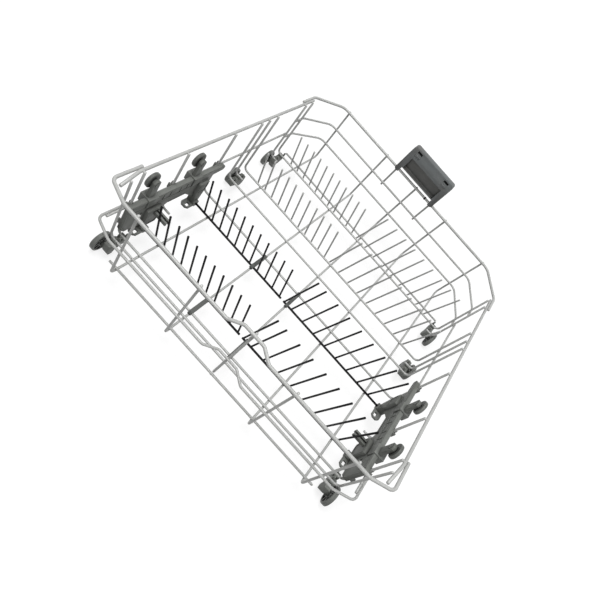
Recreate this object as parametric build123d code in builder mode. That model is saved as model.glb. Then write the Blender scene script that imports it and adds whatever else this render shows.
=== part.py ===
from build123d import *
import os
from math import atan, ceil, cos, radians, sin, tan

# Driving dimensions in millimetres. Depth runs from the back wall to the front, rise up from the floor wires.

# Wire stock
FRAME_WIRE = 3.8
RIM_WIRE = 4.8
TINE_WIRE = 3.2
ROD_WIRE = 3.8

# Facets of the pieces that repeat most: sections of wires and tines, bends, roller treads and journals
WIRE_SIDES = 8
TINE_SIDES = 6
BEND_STEP = 45.0
BEND_STEP_SLACK = 0.01
ROLLER_SIDES = 24

# Basket
SIDE_X = 235.0
FLOOR_DEPTH = 541.0
FRONT_LEAN = 12.7
RIM_RISE = 127.0
SIDE_MID_RISE = 52.0
FRONT_MID_RISE = 80.5
FRONT_LOW_RISE = 40.0
WIRE_TOP_STAND = 1.5

# Bends
LOOP_BEND = 9.0
LONG_BEND = 7.0
CORNER_BEND = 10.0
CHAMFER_START_BEND = 20.0
CHAMFER_BEND = 18.0
RECESS_BEND = 8.0
STAY_BEND = 7.0

# Recess in the back wall, corners, and the ends of the rims that lap and lie beside each other
RECESS_DEPTH = 13.0
RECESS_OUTER_X = 36.0
RECESS_INNER_X = 17.0
BACK_CORNER_X = 210.0
BACK_CORNER_DEPTH = 8.0
CHAMFER_X = 203.0
CHAMFER_DEPTH = 468.0
SIDE_RIM_BACK = 8.5
SIDE_RIM_TAIL = 46.0
SIDE_RIM_TAIL_INSET = 7.4
SIDE_RIM_FRONT = 458.0
BACK_LAP = 55.0
FRONT_LAP = 40.0
SIDE_MID_BACK = 17.0
SIDE_MID_FRONT = 434.0
FRONT_WIRE_LAP = 26.0

# Floor wires
LONG_WIRE_X = 83.0
LONG_WIRE_OUTER_X = 190.0
REAR_LOOP_DEPTH = 37.0
REAR_LOOP_LEAN = -12.0
REAR_LOOP_INSET = 4.2
CARRIER_LOOP_DEPTH = 50.0
HINGE_LOOP_DEPTH = 229.0
MIDDLE_LOOP_DEPTH = 295.0
INNER_TINE_LOOP_DEPTH = 340.0
FRONT_TINE_LOOP_DEPTH = 449.0
CROSS_WIRE_BACK_DEPTH = 9.0
CROSS_WIRE_BACK_X = 204.0
CROSS_WIRE_FRONT_DEPTH = 466.0
CROSS_WIRE_FRONT_X = 224.0

# Side stays and the short stays under the handle
REAR_STAY_DEPTH = 128.0
REAR_STAY_FOOT_RISE = 14.0
MIDDLE_STAY_DEPTH = 316.0
FRONT_STAY_DEPTH = 426.0
STAY_FOOT = 18.0
HANDLE_STAY_OFFSET = 46.5
HANDLE_STAY_LOW_RISE = 72.0

# Tines
SHORT_COUNT = 11
SHORT_FIRST_X = 19.5
SHORT_OUTER_INSET = 35.5
SHORT_HEIGHT = 61.0
SHORT_LEAN = 14.0
TALL_COUNT = 9
TALL_FIRST_X = 6.0
TALL_OUTER_INSET = 40.2
TALL_HEIGHT = 83.0
TALL_LEAN = -9.5
FOLD_TALL_COUNT = 8
FOLD_TALL_FIRST_X = -10.5
FOLD_TALL_OUTER_INSET = 39.7
FOLD_TALL_INNER_X = 6.2
TINE_TAIL = 4.5

# Folding rods
REAR_ROD_DEPTH = 85.0
MIDDLE_ROD_DEPTH = 193.0
ROD_RISE = 2.0
ROD_END_GAP = 1.0
SHORT_ROD_INNER_X = 14.0
TALL_ROD_INNER_X = 9.0

# Running and seating clearances
RUN_GAP = 0.05
SNAP_GAP = 0.1
SIDE_GAP = 0.4

# Rollers
LOWER_ROLLER_RADIUS = 17.0
LOWER_ROLLER_WIDTH = 7.0
LOWER_ROLLER_OFFSET = 1.5
UPPER_ROLLER_RADIUS = 12.4
UPPER_ROLLER_WIDTH = 5.0
UPPER_ROLLER_OFFSET = 1.5
AXLE_RADIUS = 3.0
AXLE_HEAD = 1.4
AXLE_COLLAR = 9.0
LOWER_AXLE_DROP = 17.0
UPPER_AXLE_RISE = 93.3
UPPER_AXLE_REAR_DEPTH = 80.5
UPPER_AXLE_FRONT_DEPTH = 170.5
LOWER_AXLE_REAR_DEPTH = 30.0
LOWER_AXLE_MIDDLE_DEPTH = 324.0
LOWER_AXLE_FRONT_DEPTH = 434.0

# Roller brackets
BRACKET_INSET = 15.0
BRACKET_WIDTH = 10.0
BRACKET_PLATE = 7.0
BRACKET_BOSS_RADIUS = 6.5
LIP = 2.2
LIP_RISE = 1.4
PRONG = 3.0
PRONG_RISE = 7.5

# Carriers on the side walls
PLATE_THICK = 7.0
PLATE_BACK_DEPTH = 40.0
PLATE_TOP_RISE = 68.0
PLATE_TOP_FRONT = 15.0
PLATE_CORNER = 4.0
TIP_REACH = 7.0
TIP_TOP_RISE = 66.0
TIP_LOW_RISE = 57.0
NECK_BACK = 19.0
NECK_RISE = 55.0
ELBOW_BACK = 23.0
ELBOW_RISE = 40.0
WAIST_RISE = 36.5
WAIST_BACK = 36.0
WAIST_FRONT = 35.0
ARM_RISE = 14.0
ARM_FRONT_RISE = 24.0
BOOT_FRONT = 27.0
BOOT_FRONT_RISE = 30.0
BOOT_TOE = 18.0
BOOT_TOE_RISE = 4.0
BOOT_HEEL_RISE = 8.0
FOOT_FRONT_DEPTH = 58.0
FOOT_CUT = 8.0
FOOT_LOW_RISE = 12.0
PAD_THICK = 5.0
PAD_BACK = 9.0
PAD_FRONT = 24.0
PAD_LOW_RISE = 10.0
PAD_TOP_RISE = 46.0
PAD_CUT = 8.0
WINDOW = 8.0
WINDOW_DEPTH = 66.0
WINDOW_RISE = 40.0
ARM_PAD_BACK = 12.0
ARM_PAD_FRONT = 9.0
ARM_PAD_RISE = 28.0
ARM_PAD_TOP_RISE = 50.0
RING_RADIUS = 6.2
RING_STAND = 8.5
HOOP_REACH = 22.0
HOOP_CUT = 4.0
HOOP_LOW_RISE = -1.5
HOOP_HEIGHT = 3.5
HOOP_WALL = 3.0
HOOP_HOLE = 5.5
HOOP_HOLE_DEPTH = 8.0
LUG_RISE = 56.0
LUG_HEIGHT = 9.0
LUG_REACH = 5.0
LUG_WALL = 2.6
SADDLE = 18.0
SADDLE_STAND = 2.0
SADDLE_REACH = 9.0
SADDLE_TOP = 1.5
POST = 12.0
POST_INSET = 3.5
POST_CUT = 3.0
POST_COLLAR = 1.0
CATCH_REACH = 28.0
CATCH_GAP = 0.5
CATCH_THICK = 3.2
CATCH_HEIGHT = 6.0
CATCH_RISE = 33.0
CATCH_PITCH = 6.5

# Hinge clips
CLIP_WIDTH = 6.0
CLIP_LINK_RISE = 2.4
CLIP_ROD_WALL = 2.4
CLIP_WIRE_WALL = 2.0
CLIP_SLOT_GAP = 0.15
CLIP_SNAP_SHARE = 0.8

# Handle
HANDLE_X = 6.5
HANDLE_HALF = 51.0
HANDLE_TOP_RISE = 182.0
HANDLE_LOW_RISE = 124.4
HANDLE_BACK_REACH = 5.0
HANDLE_FRONT_REACH = 15.0
HANDLE_SLOPE = 7.0
HANDLE_SHOULDER_RISE = 165.5
HANDLE_CORNER = 5.0
HANDLE_LEG_CORNER = 4.0
HANDLE_CHEEK = 9.0
HANDLE_GAP_RISE = 136.5
POCKET_HALF = 39.5
POCKET_DEPTH = 14.0
POCKET_LOW_EDGE = 1.2
POCKET_TOP_EDGE = 2.5
VENT_WIDTH = 10.5
VENT_HEIGHT = 4.0
VENT_DEPTH = 6.0
VENT_RISE = 177.5
VENT_OFFSET = 35.0
VENT_BUMP_DROP = 6.5
VENT_BUMP_REACH = 1.2

# Places worked out from the driving dimensions
FLOOR_Z = LOWER_ROLLER_RADIUS + LOWER_AXLE_DROP
RIM_OFFSET = (FRAME_WIRE + RIM_WIRE) / 2
SIDE_RIM_X = SIDE_X + RIM_OFFSET
LAP_RIM_X = SIDE_RIM_X + RIM_WIRE
SIDE_MID_X = SIDE_X + FRAME_WIRE
LAP_MID_X = SIDE_MID_X + FRAME_WIRE
HALF_FLAT = tan(radians(180 / WIRE_SIDES)) / 2
TINE_OFFSET = (FRAME_WIRE + TINE_WIRE) / 2
ROD_TINE_OFFSET = (ROD_WIRE + TINE_WIRE) / 2
SHORT_PITCH = (SIDE_X - SHORT_OUTER_INSET - SHORT_FIRST_X) / (SHORT_COUNT - 1)
TALL_PITCH = (SIDE_X - TALL_OUTER_INSET + TALL_FIRST_X) / (TALL_COUNT - 1)
FOLD_TALL_PITCH = (SIDE_X - FOLD_TALL_OUTER_INSET + FOLD_TALL_FIRST_X) / (FOLD_TALL_COUNT - 1)
PLATE_OUTER_X = SIDE_X - FRAME_WIRE / 2 - SNAP_GAP
PLATE_X = PLATE_OUTER_X - PLATE_THICK
PAD_X = PLATE_X - PAD_THICK
RING_X = PLATE_X - RING_STAND
ROD_END_X = PLATE_X - ROD_END_GAP
BRACKET_X = SIDE_X - BRACKET_INSET
LOWER_ROLLER_X = SIDE_X + LOWER_ROLLER_OFFSET
UPPER_ROLLER_X = SIDE_X + UPPER_ROLLER_OFFSET
POST_X = PLATE_OUTER_X - POST_INSET
POST_OUTER_X = UPPER_ROLLER_X - SIDE_GAP - POST_COLLAR

os.makedirs("parts", exist_ok=True)


def front_wall_depth(rise):
    share = (rise + FRAME_WIRE) / (RIM_RISE + FRAME_WIRE)
    return FLOOR_DEPTH - FRONT_LEAN * share


def front_seat_depth(rise, diameter):
    lean = atan(FRONT_LEAN / (RIM_RISE + FRAME_WIRE))
    wall_face = front_wall_depth(rise + diameter * HALF_FLAT) - FRAME_WIRE / 2 / cos(lean)
    return wall_face - diameter / 2


FRONT_RIM_DEPTH = front_seat_depth(RIM_RISE, RIM_WIRE)
BACK_REACH = RIM_OFFSET + RIM_WIRE / 2
FRONT_REACH = FLOOR_DEPTH + FRAME_WIRE / 2
BACK_Y = (FRONT_REACH - BACK_REACH) / 2


def at_y(depth):
    return BACK_Y - depth


def at_z(rise):
    return FLOOR_Z + rise


def place(x, depth, rise):
    return Vector(x, at_y(depth), at_z(rise))


def save(part, name):
    part.label = name
    export_step(part, f"parts/{name}.step")


def mirrored(part):
    return mirror(part, about=Plane.YZ)


# Wires


def straight_wire(start, end, diameter, across, sides=WIRE_SIDES):
    run = end - start
    with BuildPart() as wire:
        with BuildSketch(Plane(start, x_dir=across, z_dir=run)):
            RegularPolygon(diameter / 2, sides, major_radius=False, rotation=180 / sides)
        extrude(amount=run.length)
    return wire.part


def bend_points(before, corner, after, radius):
    inward = (corner - before).normalized()
    outward = (after - corner).normalized()
    turn = inward.get_angle(outward)
    start = corner - inward * (radius * tan(radians(turn / 2)))
    steps = ceil(turn / BEND_STEP - BEND_STEP_SLACK)
    side = (outward - inward * inward.dot(outward)).normalized()
    angles = [radians(turn * i / steps) for i in range(steps + 1)]
    return [start + inward * (radius * sin(a)) + side * (radius * (1 - cos(a))) for a in angles]


def bent_wire(points, bends, diameter):
    run = points[1] - points[0]
    across = run.cross(points[2] - points[1])
    route_points = [points[0]]
    for before, corner, after, radius in zip(points, points[1:], points[2:], bends):
        route_points += bend_points(before, corner, after, radius)
    route_points.append(points[-1])
    with BuildPart() as wire:
        with BuildLine():
            Polyline(*route_points)
        with BuildSketch(Plane(points[0], x_dir=across, z_dir=run)):
            RegularPolygon(diameter / 2, WIRE_SIDES, major_radius=False, rotation=180 / WIRE_SIDES)
        sweep(transition=Transition.RIGHT)
    return wire.part


def recessed_back_wire(corner_x, depth, rise, lap, diameter):
    half = [
        (corner_x, lap),
        (corner_x, BACK_CORNER_DEPTH),
        (BACK_CORNER_X, depth),
        (RECESS_OUTER_X, depth),
        (RECESS_INNER_X, depth + RECESS_DEPTH),
    ]
    points = [place(x, d, rise) for x, d in half]
    points += [place(-x, d, rise) for x, d in reversed(half)]
    bends = [CORNER_BEND, CHAMFER_START_BEND, RECESS_BEND, RECESS_BEND]
    return bent_wire(points, bends + bends[::-1], diameter)


def front_corner_wire(side_x, front_depth, rise, lap, diameter):
    half = [(side_x, CHAMFER_DEPTH - lap), (side_x, CHAMFER_DEPTH), (CHAMFER_X, front_depth)]
    points = [place(x, d, rise) for x, d in half]
    points += [place(-x, d, rise) for x, d in reversed(half)]
    return bent_wire(points, [CHAMFER_BEND] * 4, diameter)


def loop_wire(depth, lean, inset):
    top = RIM_RISE + WIRE_TOP_STAND
    top_x = SIDE_X - inset
    edge_lift = FRAME_WIRE * HALF_FLAT * abs(lean) / top
    points = [
        place(top_x, depth + lean, top),
        place(SIDE_X, depth, edge_lift),
        place(-SIDE_X, depth, edge_lift),
        place(-top_x, depth + lean, top),
    ]
    return bent_wire(points, [LOOP_BEND] * 2, FRAME_WIRE)


def long_wire(x, back_depth):
    top = RIM_RISE + WIRE_TOP_STAND
    low = -FRAME_WIRE
    points = [
        place(x, back_depth, top),
        place(x, back_depth, low),
        place(x, FLOOR_DEPTH, low),
        place(x, front_wall_depth(top), top),
    ]
    return bent_wire(points, [LONG_BEND] * 2, FRAME_WIRE)


def side_stay(side, depth, foot_rise):
    points = [
        place(side * SIDE_X, depth, RIM_RISE + WIRE_TOP_STAND),
        place(side * SIDE_X, depth, foot_rise),
        place(side * (SIDE_X - STAY_FOOT), depth, foot_rise),
    ]
    return bent_wire(points, [STAY_BEND], FRAME_WIRE)


def tine(x, depth, rise, height, lean):
    foot = place(x - TINE_TAIL * tan(radians(lean)), depth, rise - TINE_TAIL)
    tip = place(x + (height - rise) * tan(radians(lean)), depth, height)
    return straight_wire(foot, tip, TINE_WIRE, Vector(0, 1, 0), TINE_SIDES)


def tine_row(count, first_x, pitch, depth, rise, height, lean):
    return [tine(first_x + pitch * i, depth, rise, height, lean) for i in range(count)]


def fixed_tines(loop_depth):
    depth = loop_depth + TINE_OFFSET
    short = tine_row(SHORT_COUNT, SHORT_FIRST_X, SHORT_PITCH, depth, 0, SHORT_HEIGHT, SHORT_LEAN)
    tall = tine_row(TALL_COUNT, TALL_FIRST_X, -TALL_PITCH, depth, 0, TALL_HEIGHT, TALL_LEAN)
    return Compound(children=short + tall)


def folding_rod(inner_x, outer_x, depth):
    inner_end = place(inner_x, depth, ROD_RISE)
    run = place(outer_x, depth, ROD_RISE) - inner_end
    with BuildPart() as rod:
        with BuildSketch(Plane(inner_end, z_dir=run)):
            Circle(ROD_WIRE / 2)
        extrude(amount=run.length)
    return rod.part


def folding_section_short(depth):
    rod = folding_rod(SHORT_ROD_INNER_X, ROD_END_X, depth)
    row_depth = depth + ROD_TINE_OFFSET
    tines = tine_row(SHORT_COUNT, SHORT_FIRST_X, SHORT_PITCH, row_depth, ROD_RISE, SHORT_HEIGHT, SHORT_LEAN)
    return Compound(children=[rod] + tines)


def folding_section_tall(depth):
    rod = folding_rod(TALL_ROD_INNER_X, -ROD_END_X, depth)
    row_depth = depth + ROD_TINE_OFFSET
    tines = tine_row(
        FOLD_TALL_COUNT, FOLD_TALL_FIRST_X, -FOLD_TALL_PITCH, row_depth, ROD_RISE, TALL_HEIGHT, TALL_LEAN
    )
    inner_tine = tine(FOLD_TALL_INNER_X, row_depth, ROD_RISE, TALL_HEIGHT, TALL_LEAN)
    return Compound(children=[rod, inner_tine] + tines)


along_x = Vector(1, 0, 0)
along_z = Vector(0, 0, 1)

for side_name, side in (("right", 1), ("left", -1)):
    rim_route = [
        place(side * SIDE_RIM_X, SIDE_RIM_FRONT, RIM_RISE),
        place(side * SIDE_RIM_X, SIDE_RIM_TAIL, RIM_RISE),
        place(side * (SIDE_RIM_X - SIDE_RIM_TAIL_INSET), SIDE_RIM_BACK, RIM_RISE),
    ]
    save(bent_wire(rim_route, [CHAMFER_START_BEND], RIM_WIRE), f"side_rim_{side_name}")
    mid_run = [place(side * SIDE_MID_X, d, SIDE_MID_RISE) for d in (SIDE_MID_BACK, SIDE_MID_FRONT)]
    save(straight_wire(*mid_run, FRAME_WIRE, along_z), f"side_mid_wire_{side_name}")
    save(side_stay(side, REAR_STAY_DEPTH, REAR_STAY_FOOT_RISE), f"side_stay_{side_name}_rear")
    save(side_stay(side, MIDDLE_STAY_DEPTH, 0), f"side_stay_{side_name}_middle")
    save(side_stay(side, FRONT_STAY_DEPTH, 0), f"side_stay_{side_name}_front")

save(recessed_back_wire(LAP_RIM_X, -RIM_OFFSET, RIM_RISE, BACK_LAP, RIM_WIRE), "back_rim")
save(recessed_back_wire(LAP_MID_X, -FRAME_WIRE, SIDE_MID_RISE, BACK_LAP, FRAME_WIRE), "back_low_wire")
save(front_corner_wire(LAP_RIM_X, FRONT_RIM_DEPTH, RIM_RISE, FRONT_LAP, RIM_WIRE), "front_rim")
for wire_name, rise in (("front_mid_wire", FRONT_MID_RISE), ("front_low_wire", FRONT_LOW_RISE)):
    seat_depth = front_seat_depth(rise, FRAME_WIRE)
    save(front_corner_wire(SIDE_MID_X, seat_depth, rise, FRONT_WIRE_LAP, FRAME_WIRE), wire_name)

loops = {
    "loop_wire_rear": (REAR_LOOP_DEPTH, REAR_LOOP_LEAN, REAR_LOOP_INSET),
    "loop_wire_carrier": (CARRIER_LOOP_DEPTH, 0, 0),
    "loop_wire_hinge": (HINGE_LOOP_DEPTH, 0, 0),
    "loop_wire_middle": (MIDDLE_LOOP_DEPTH, 0, 0),
    "loop_wire_inner_tines": (INNER_TINE_LOOP_DEPTH, 0, 0),
    "loop_wire_front_tines": (FRONT_TINE_LOOP_DEPTH, 0, 0),
}
for loop_name, (loop_depth, loop_lean, loop_inset) in loops.items():
    save(loop_wire(loop_depth, loop_lean, loop_inset), loop_name)

cross_wires = {
    "cross_wire_back": (CROSS_WIRE_BACK_X, CROSS_WIRE_BACK_DEPTH),
    "cross_wire_front": (CROSS_WIRE_FRONT_X, CROSS_WIRE_FRONT_DEPTH),
}
for cross_name, (half_x, cross_depth) in cross_wires.items():
    cross_run = [place(x, cross_depth, 0) for x in (-half_x, half_x)]
    save(straight_wire(*cross_run, FRAME_WIRE, along_z), cross_name)

long_wires = {
    "long_wire_right_outer": (LONG_WIRE_OUTER_X, 0),
    "long_wire_right": (LONG_WIRE_X, 0),
    "long_wire_centre": (0, RECESS_DEPTH),
    "long_wire_left": (-LONG_WIRE_X, 0),
    "long_wire_left_outer": (-LONG_WIRE_OUTER_X, 0),
}
for long_name, (long_x, back_depth) in long_wires.items():
    save(long_wire(long_x, back_depth), long_name)

handle_stay_places = [HANDLE_X + HANDLE_STAY_OFFSET, HANDLE_X - HANDLE_STAY_OFFSET]
stay_run = [(rise, front_wall_depth(rise)) for rise in (HANDLE_STAY_LOW_RISE, RIM_RISE)]
handle_stays = [
    straight_wire(*[place(x, d, rise) for rise, d in stay_run], FRAME_WIRE, along_x)
    for x in handle_stay_places
]
save(Compound(children=handle_stays), "handle_stays")

save(fixed_tines(INNER_TINE_LOOP_DEPTH), "fixed_tines_inner")
save(fixed_tines(FRONT_TINE_LOOP_DEPTH), "fixed_tines_front")
save(folding_section_short(REAR_ROD_DEPTH), "folding_tines_right_rear")
save(folding_section_short(MIDDLE_ROD_DEPTH), "folding_tines_right_middle")
save(folding_section_tall(REAR_ROD_DEPTH), "folding_tines_left_rear")
save(folding_section_tall(MIDDLE_ROD_DEPTH), "folding_tines_left_middle")


# Rollers, their brackets and stub axles


def side_profile(x, points):
    with BuildSketch(Plane.YZ.offset(x)) as profile:
        with BuildLine():
            Polyline(*[(at_y(d), at_z(rise)) for d, rise in points], close=True)
        make_face()
    return profile.sketch


def level_profile(rise, points):
    with BuildSketch(Plane.XY.offset(at_z(rise))) as profile:
        with BuildLine():
            Polyline(*[(x, at_y(d)) for x, d in points], close=True)
        make_face()
    return profile.sketch


def side_rectangle(x, depths, rises):
    d0, d1 = depths
    r0, r1 = rises
    return side_profile(x, [(d0, r0), (d1, r0), (d1, r1), (d0, r1)])


def side_disc(x, depth, rise, radius):
    with BuildSketch(Plane.YZ.offset(x)) as disc:
        with Locations((at_y(depth), at_z(rise))):
            Circle(radius)
    return disc.sketch


def side_octagon(x, depth, rise, across_flats):
    with BuildSketch(Plane.YZ.offset(x)) as octagon:
        with Locations((at_y(depth), at_z(rise))):
            RegularPolygon(across_flats / 2, WIRE_SIDES, major_radius=False, rotation=180 / WIRE_SIDES)
    return octagon.sketch


def side_journal(x, depth, rise):
    with BuildSketch(Plane.YZ.offset(x)) as journal:
        with Locations((at_y(depth), at_z(rise))):
            RegularPolygon(AXLE_RADIUS, ROLLER_SIDES)
    return journal.sketch


def roller(radius, width, inner_x, depth, rise):
    with BuildPart() as wheel:
        with BuildSketch(Plane.YZ.offset(inner_x)):
            with Locations((at_y(depth), at_z(rise))):
                RegularPolygon(radius, ROLLER_SIDES, major_radius=False, rotation=180 / ROLLER_SIDES)
                Circle(AXLE_RADIUS + RUN_GAP, mode=Mode.SUBTRACT)
        extrude(amount=width)
    return wheel.part


def stub_axle(root_x, roller_x, roller_width, depth, rise):
    journal_x = roller_x - SIDE_GAP
    head_x = roller_x + roller_width + SIDE_GAP
    return [
        (side_octagon(root_x, depth, rise, AXLE_COLLAR), journal_x - root_x),
        (side_journal(journal_x, depth, rise), head_x - journal_x),
        (side_octagon(head_x, depth, rise, AXLE_COLLAR), AXLE_HEAD),
    ]


def roller_bracket(wire_depths, axle_depth):
    grip = FRAME_WIRE / 2 + SNAP_GAP
    back = min(min(wire_depths) - grip - LIP, axle_depth - BRACKET_BOSS_RADIUS)
    front = max(max(wire_depths) + grip + LIP, axle_depth + BRACKET_BOSS_RADIUS)
    boss_low = -LOWER_AXLE_DROP - BRACKET_BOSS_RADIUS
    plate_low = -grip - BRACKET_PLATE
    outline = [
        (back, -grip),
        (front, -grip),
        (front, plate_low),
        (axle_depth + BRACKET_BOSS_RADIUS, -LOWER_AXLE_DROP),
        (axle_depth + BRACKET_BOSS_RADIUS / 2, boss_low),
        (axle_depth - BRACKET_BOSS_RADIUS / 2, boss_low),
        (axle_depth - BRACKET_BOSS_RADIUS, -LOWER_AXLE_DROP),
        (back, plate_low),
    ]
    with BuildPart() as bracket:
        extrude(side_profile(BRACKET_X, outline), amount=BRACKET_WIDTH)
        for depth in wire_depths:
            for lip_depth in (depth - grip - LIP, depth + grip):
                lip = side_rectangle(BRACKET_X, (lip_depth, lip_depth + LIP), (-grip, LIP_RISE))
                extrude(lip, amount=BRACKET_WIDTH)
            prong = side_rectangle(BRACKET_X, (depth + grip, depth + grip + PRONG), (-grip, PRONG_RISE))
            extrude(prong, amount=PRONG)
        root_x = BRACKET_X + BRACKET_WIDTH
        axle = stub_axle(root_x, LOWER_ROLLER_X, LOWER_ROLLER_WIDTH, axle_depth, -LOWER_AXLE_DROP)
        for section, length in axle:
            extrude(section, amount=length)
    return bracket.part


lower_rollers = {
    "rear": ((REAR_LOOP_DEPTH, CARRIER_LOOP_DEPTH), LOWER_AXLE_REAR_DEPTH),
    "middle": ((MIDDLE_LOOP_DEPTH, MIDDLE_STAY_DEPTH), LOWER_AXLE_MIDDLE_DEPTH),
    "front": ((FRONT_STAY_DEPTH, FRONT_TINE_LOOP_DEPTH), LOWER_AXLE_FRONT_DEPTH),
}
for end, (wire_depths, axle_depth) in lower_rollers.items():
    bracket_right = roller_bracket(wire_depths, axle_depth)
    save(bracket_right, f"roller_bracket_right_{end}")
    save(mirrored(bracket_right), f"roller_bracket_left_{end}")
    roller_right = roller(
        LOWER_ROLLER_RADIUS, LOWER_ROLLER_WIDTH, LOWER_ROLLER_X, axle_depth, -LOWER_AXLE_DROP
    )
    save(roller_right, f"lower_roller_right_{end}")
    save(mirrored(roller_right), f"lower_roller_left_{end}")

upper_axles = {"rear": UPPER_AXLE_REAR_DEPTH, "front": UPPER_AXLE_FRONT_DEPTH}
for end, axle_depth in upper_axles.items():
    roller_right = roller(
        UPPER_ROLLER_RADIUS, UPPER_ROLLER_WIDTH, UPPER_ROLLER_X, axle_depth, UPPER_AXLE_RISE
    )
    save(roller_right, f"upper_roller_right_{end}")
    save(mirrored(roller_right), f"upper_roller_left_{end}")


# Carriers on the side walls, with the rings for the tine rods and the axles of the upper rollers


plate_outline = [
    (PLATE_BACK_DEPTH, PLATE_TOP_RISE),
    (HINGE_LOOP_DEPTH - PLATE_TOP_FRONT, PLATE_TOP_RISE),
    (HINGE_LOOP_DEPTH + TIP_REACH, TIP_TOP_RISE),
    (HINGE_LOOP_DEPTH + TIP_REACH, TIP_LOW_RISE),
    (HINGE_LOOP_DEPTH - NECK_BACK, NECK_RISE),
    (HINGE_LOOP_DEPTH - ELBOW_BACK, ELBOW_RISE),
    (MIDDLE_ROD_DEPTH + RING_RADIUS, ARM_FRONT_RISE),
    (MIDDLE_ROD_DEPTH + RING_RADIUS, ROD_RISE),
    (MIDDLE_ROD_DEPTH - RING_RADIUS, ROD_RISE),
    (MIDDLE_ROD_DEPTH - RING_RADIUS, ARM_RISE),
    (MIDDLE_ROD_DEPTH - WAIST_FRONT, WAIST_RISE),
    (REAR_ROD_DEPTH + WAIST_BACK, WAIST_RISE),
    (REAR_ROD_DEPTH + BOOT_FRONT, BOOT_FRONT_RISE),
    (REAR_ROD_DEPTH + BOOT_TOE, BOOT_TOE_RISE),
    (REAR_ROD_DEPTH + RING_RADIUS, ROD_RISE),
    (REAR_ROD_DEPTH - RING_RADIUS, ROD_RISE),
    (REAR_ROD_DEPTH - RING_RADIUS, BOOT_HEEL_RISE),
    (FOOT_FRONT_DEPTH, FOOT_LOW_RISE),
    (PLATE_BACK_DEPTH + FOOT_CUT, FOOT_LOW_RISE),
    (PLATE_BACK_DEPTH, FOOT_LOW_RISE + FOOT_CUT),
]
pad_outline = [
    (REAR_ROD_DEPTH - PAD_BACK, PAD_LOW_RISE + PAD_CUT),
    (REAR_ROD_DEPTH - PAD_BACK + PAD_CUT, PAD_LOW_RISE),
    (REAR_ROD_DEPTH + BOOT_TOE, PAD_LOW_RISE),
    (REAR_ROD_DEPTH + PAD_FRONT, PAD_LOW_RISE + PAD_CUT * 2),
    (REAR_ROD_DEPTH + PAD_FRONT, PAD_TOP_RISE - PAD_CUT),
    (REAR_ROD_DEPTH + PAD_FRONT - PAD_CUT, PAD_TOP_RISE),
    (REAR_ROD_DEPTH - PAD_BACK, PAD_TOP_RISE),
]
arm_pad_outline = [
    (MIDDLE_ROD_DEPTH - RING_RADIUS, ROD_RISE),
    (MIDDLE_ROD_DEPTH + RING_RADIUS, ROD_RISE),
    (MIDDLE_ROD_DEPTH + ARM_PAD_FRONT, ARM_PAD_RISE),
    (MIDDLE_ROD_DEPTH + ARM_PAD_FRONT, ARM_PAD_TOP_RISE),
    (MIDDLE_ROD_DEPTH - ARM_PAD_BACK, ARM_PAD_TOP_RISE),
    (MIDDLE_ROD_DEPTH - ARM_PAD_BACK, ARM_PAD_RISE),
    (MIDDLE_ROD_DEPTH - RING_RADIUS, ARM_RISE),
]
window_depths = (WINDOW_DEPTH - WINDOW / 2, WINDOW_DEPTH + WINDOW / 2)
window_rises = (WINDOW_RISE - WINDOW / 2, WINDOW_RISE + WINDOW / 2)
ring_width = PLATE_OUTER_X - RING_X
wire_grip = FRAME_WIRE / 2 + SNAP_GAP
block_low = SIDE_MID_RISE + FRAME_WIRE / 2 + SIDE_GAP
lugs = [
    (CARRIER_LOOP_DEPTH, LUG_RISE),
    (CARRIER_LOOP_DEPTH, FOOT_LOW_RISE + FOOT_CUT),
    (REAR_STAY_DEPTH, LUG_RISE),
    (HINGE_LOOP_DEPTH, block_low),
]
saddle_x = PLATE_X - SADDLE_STAND
saddle_width = PLATE_OUTER_X + SADDLE_REACH - saddle_x
saddle_rises = (block_low, PLATE_TOP_RISE + SADDLE_TOP)
post_top = UPPER_AXLE_RISE + POST / 2
first_catch = REAR_ROD_DEPTH + ROD_TINE_OFFSET + TINE_WIRE / 2 + CATCH_GAP

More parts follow.
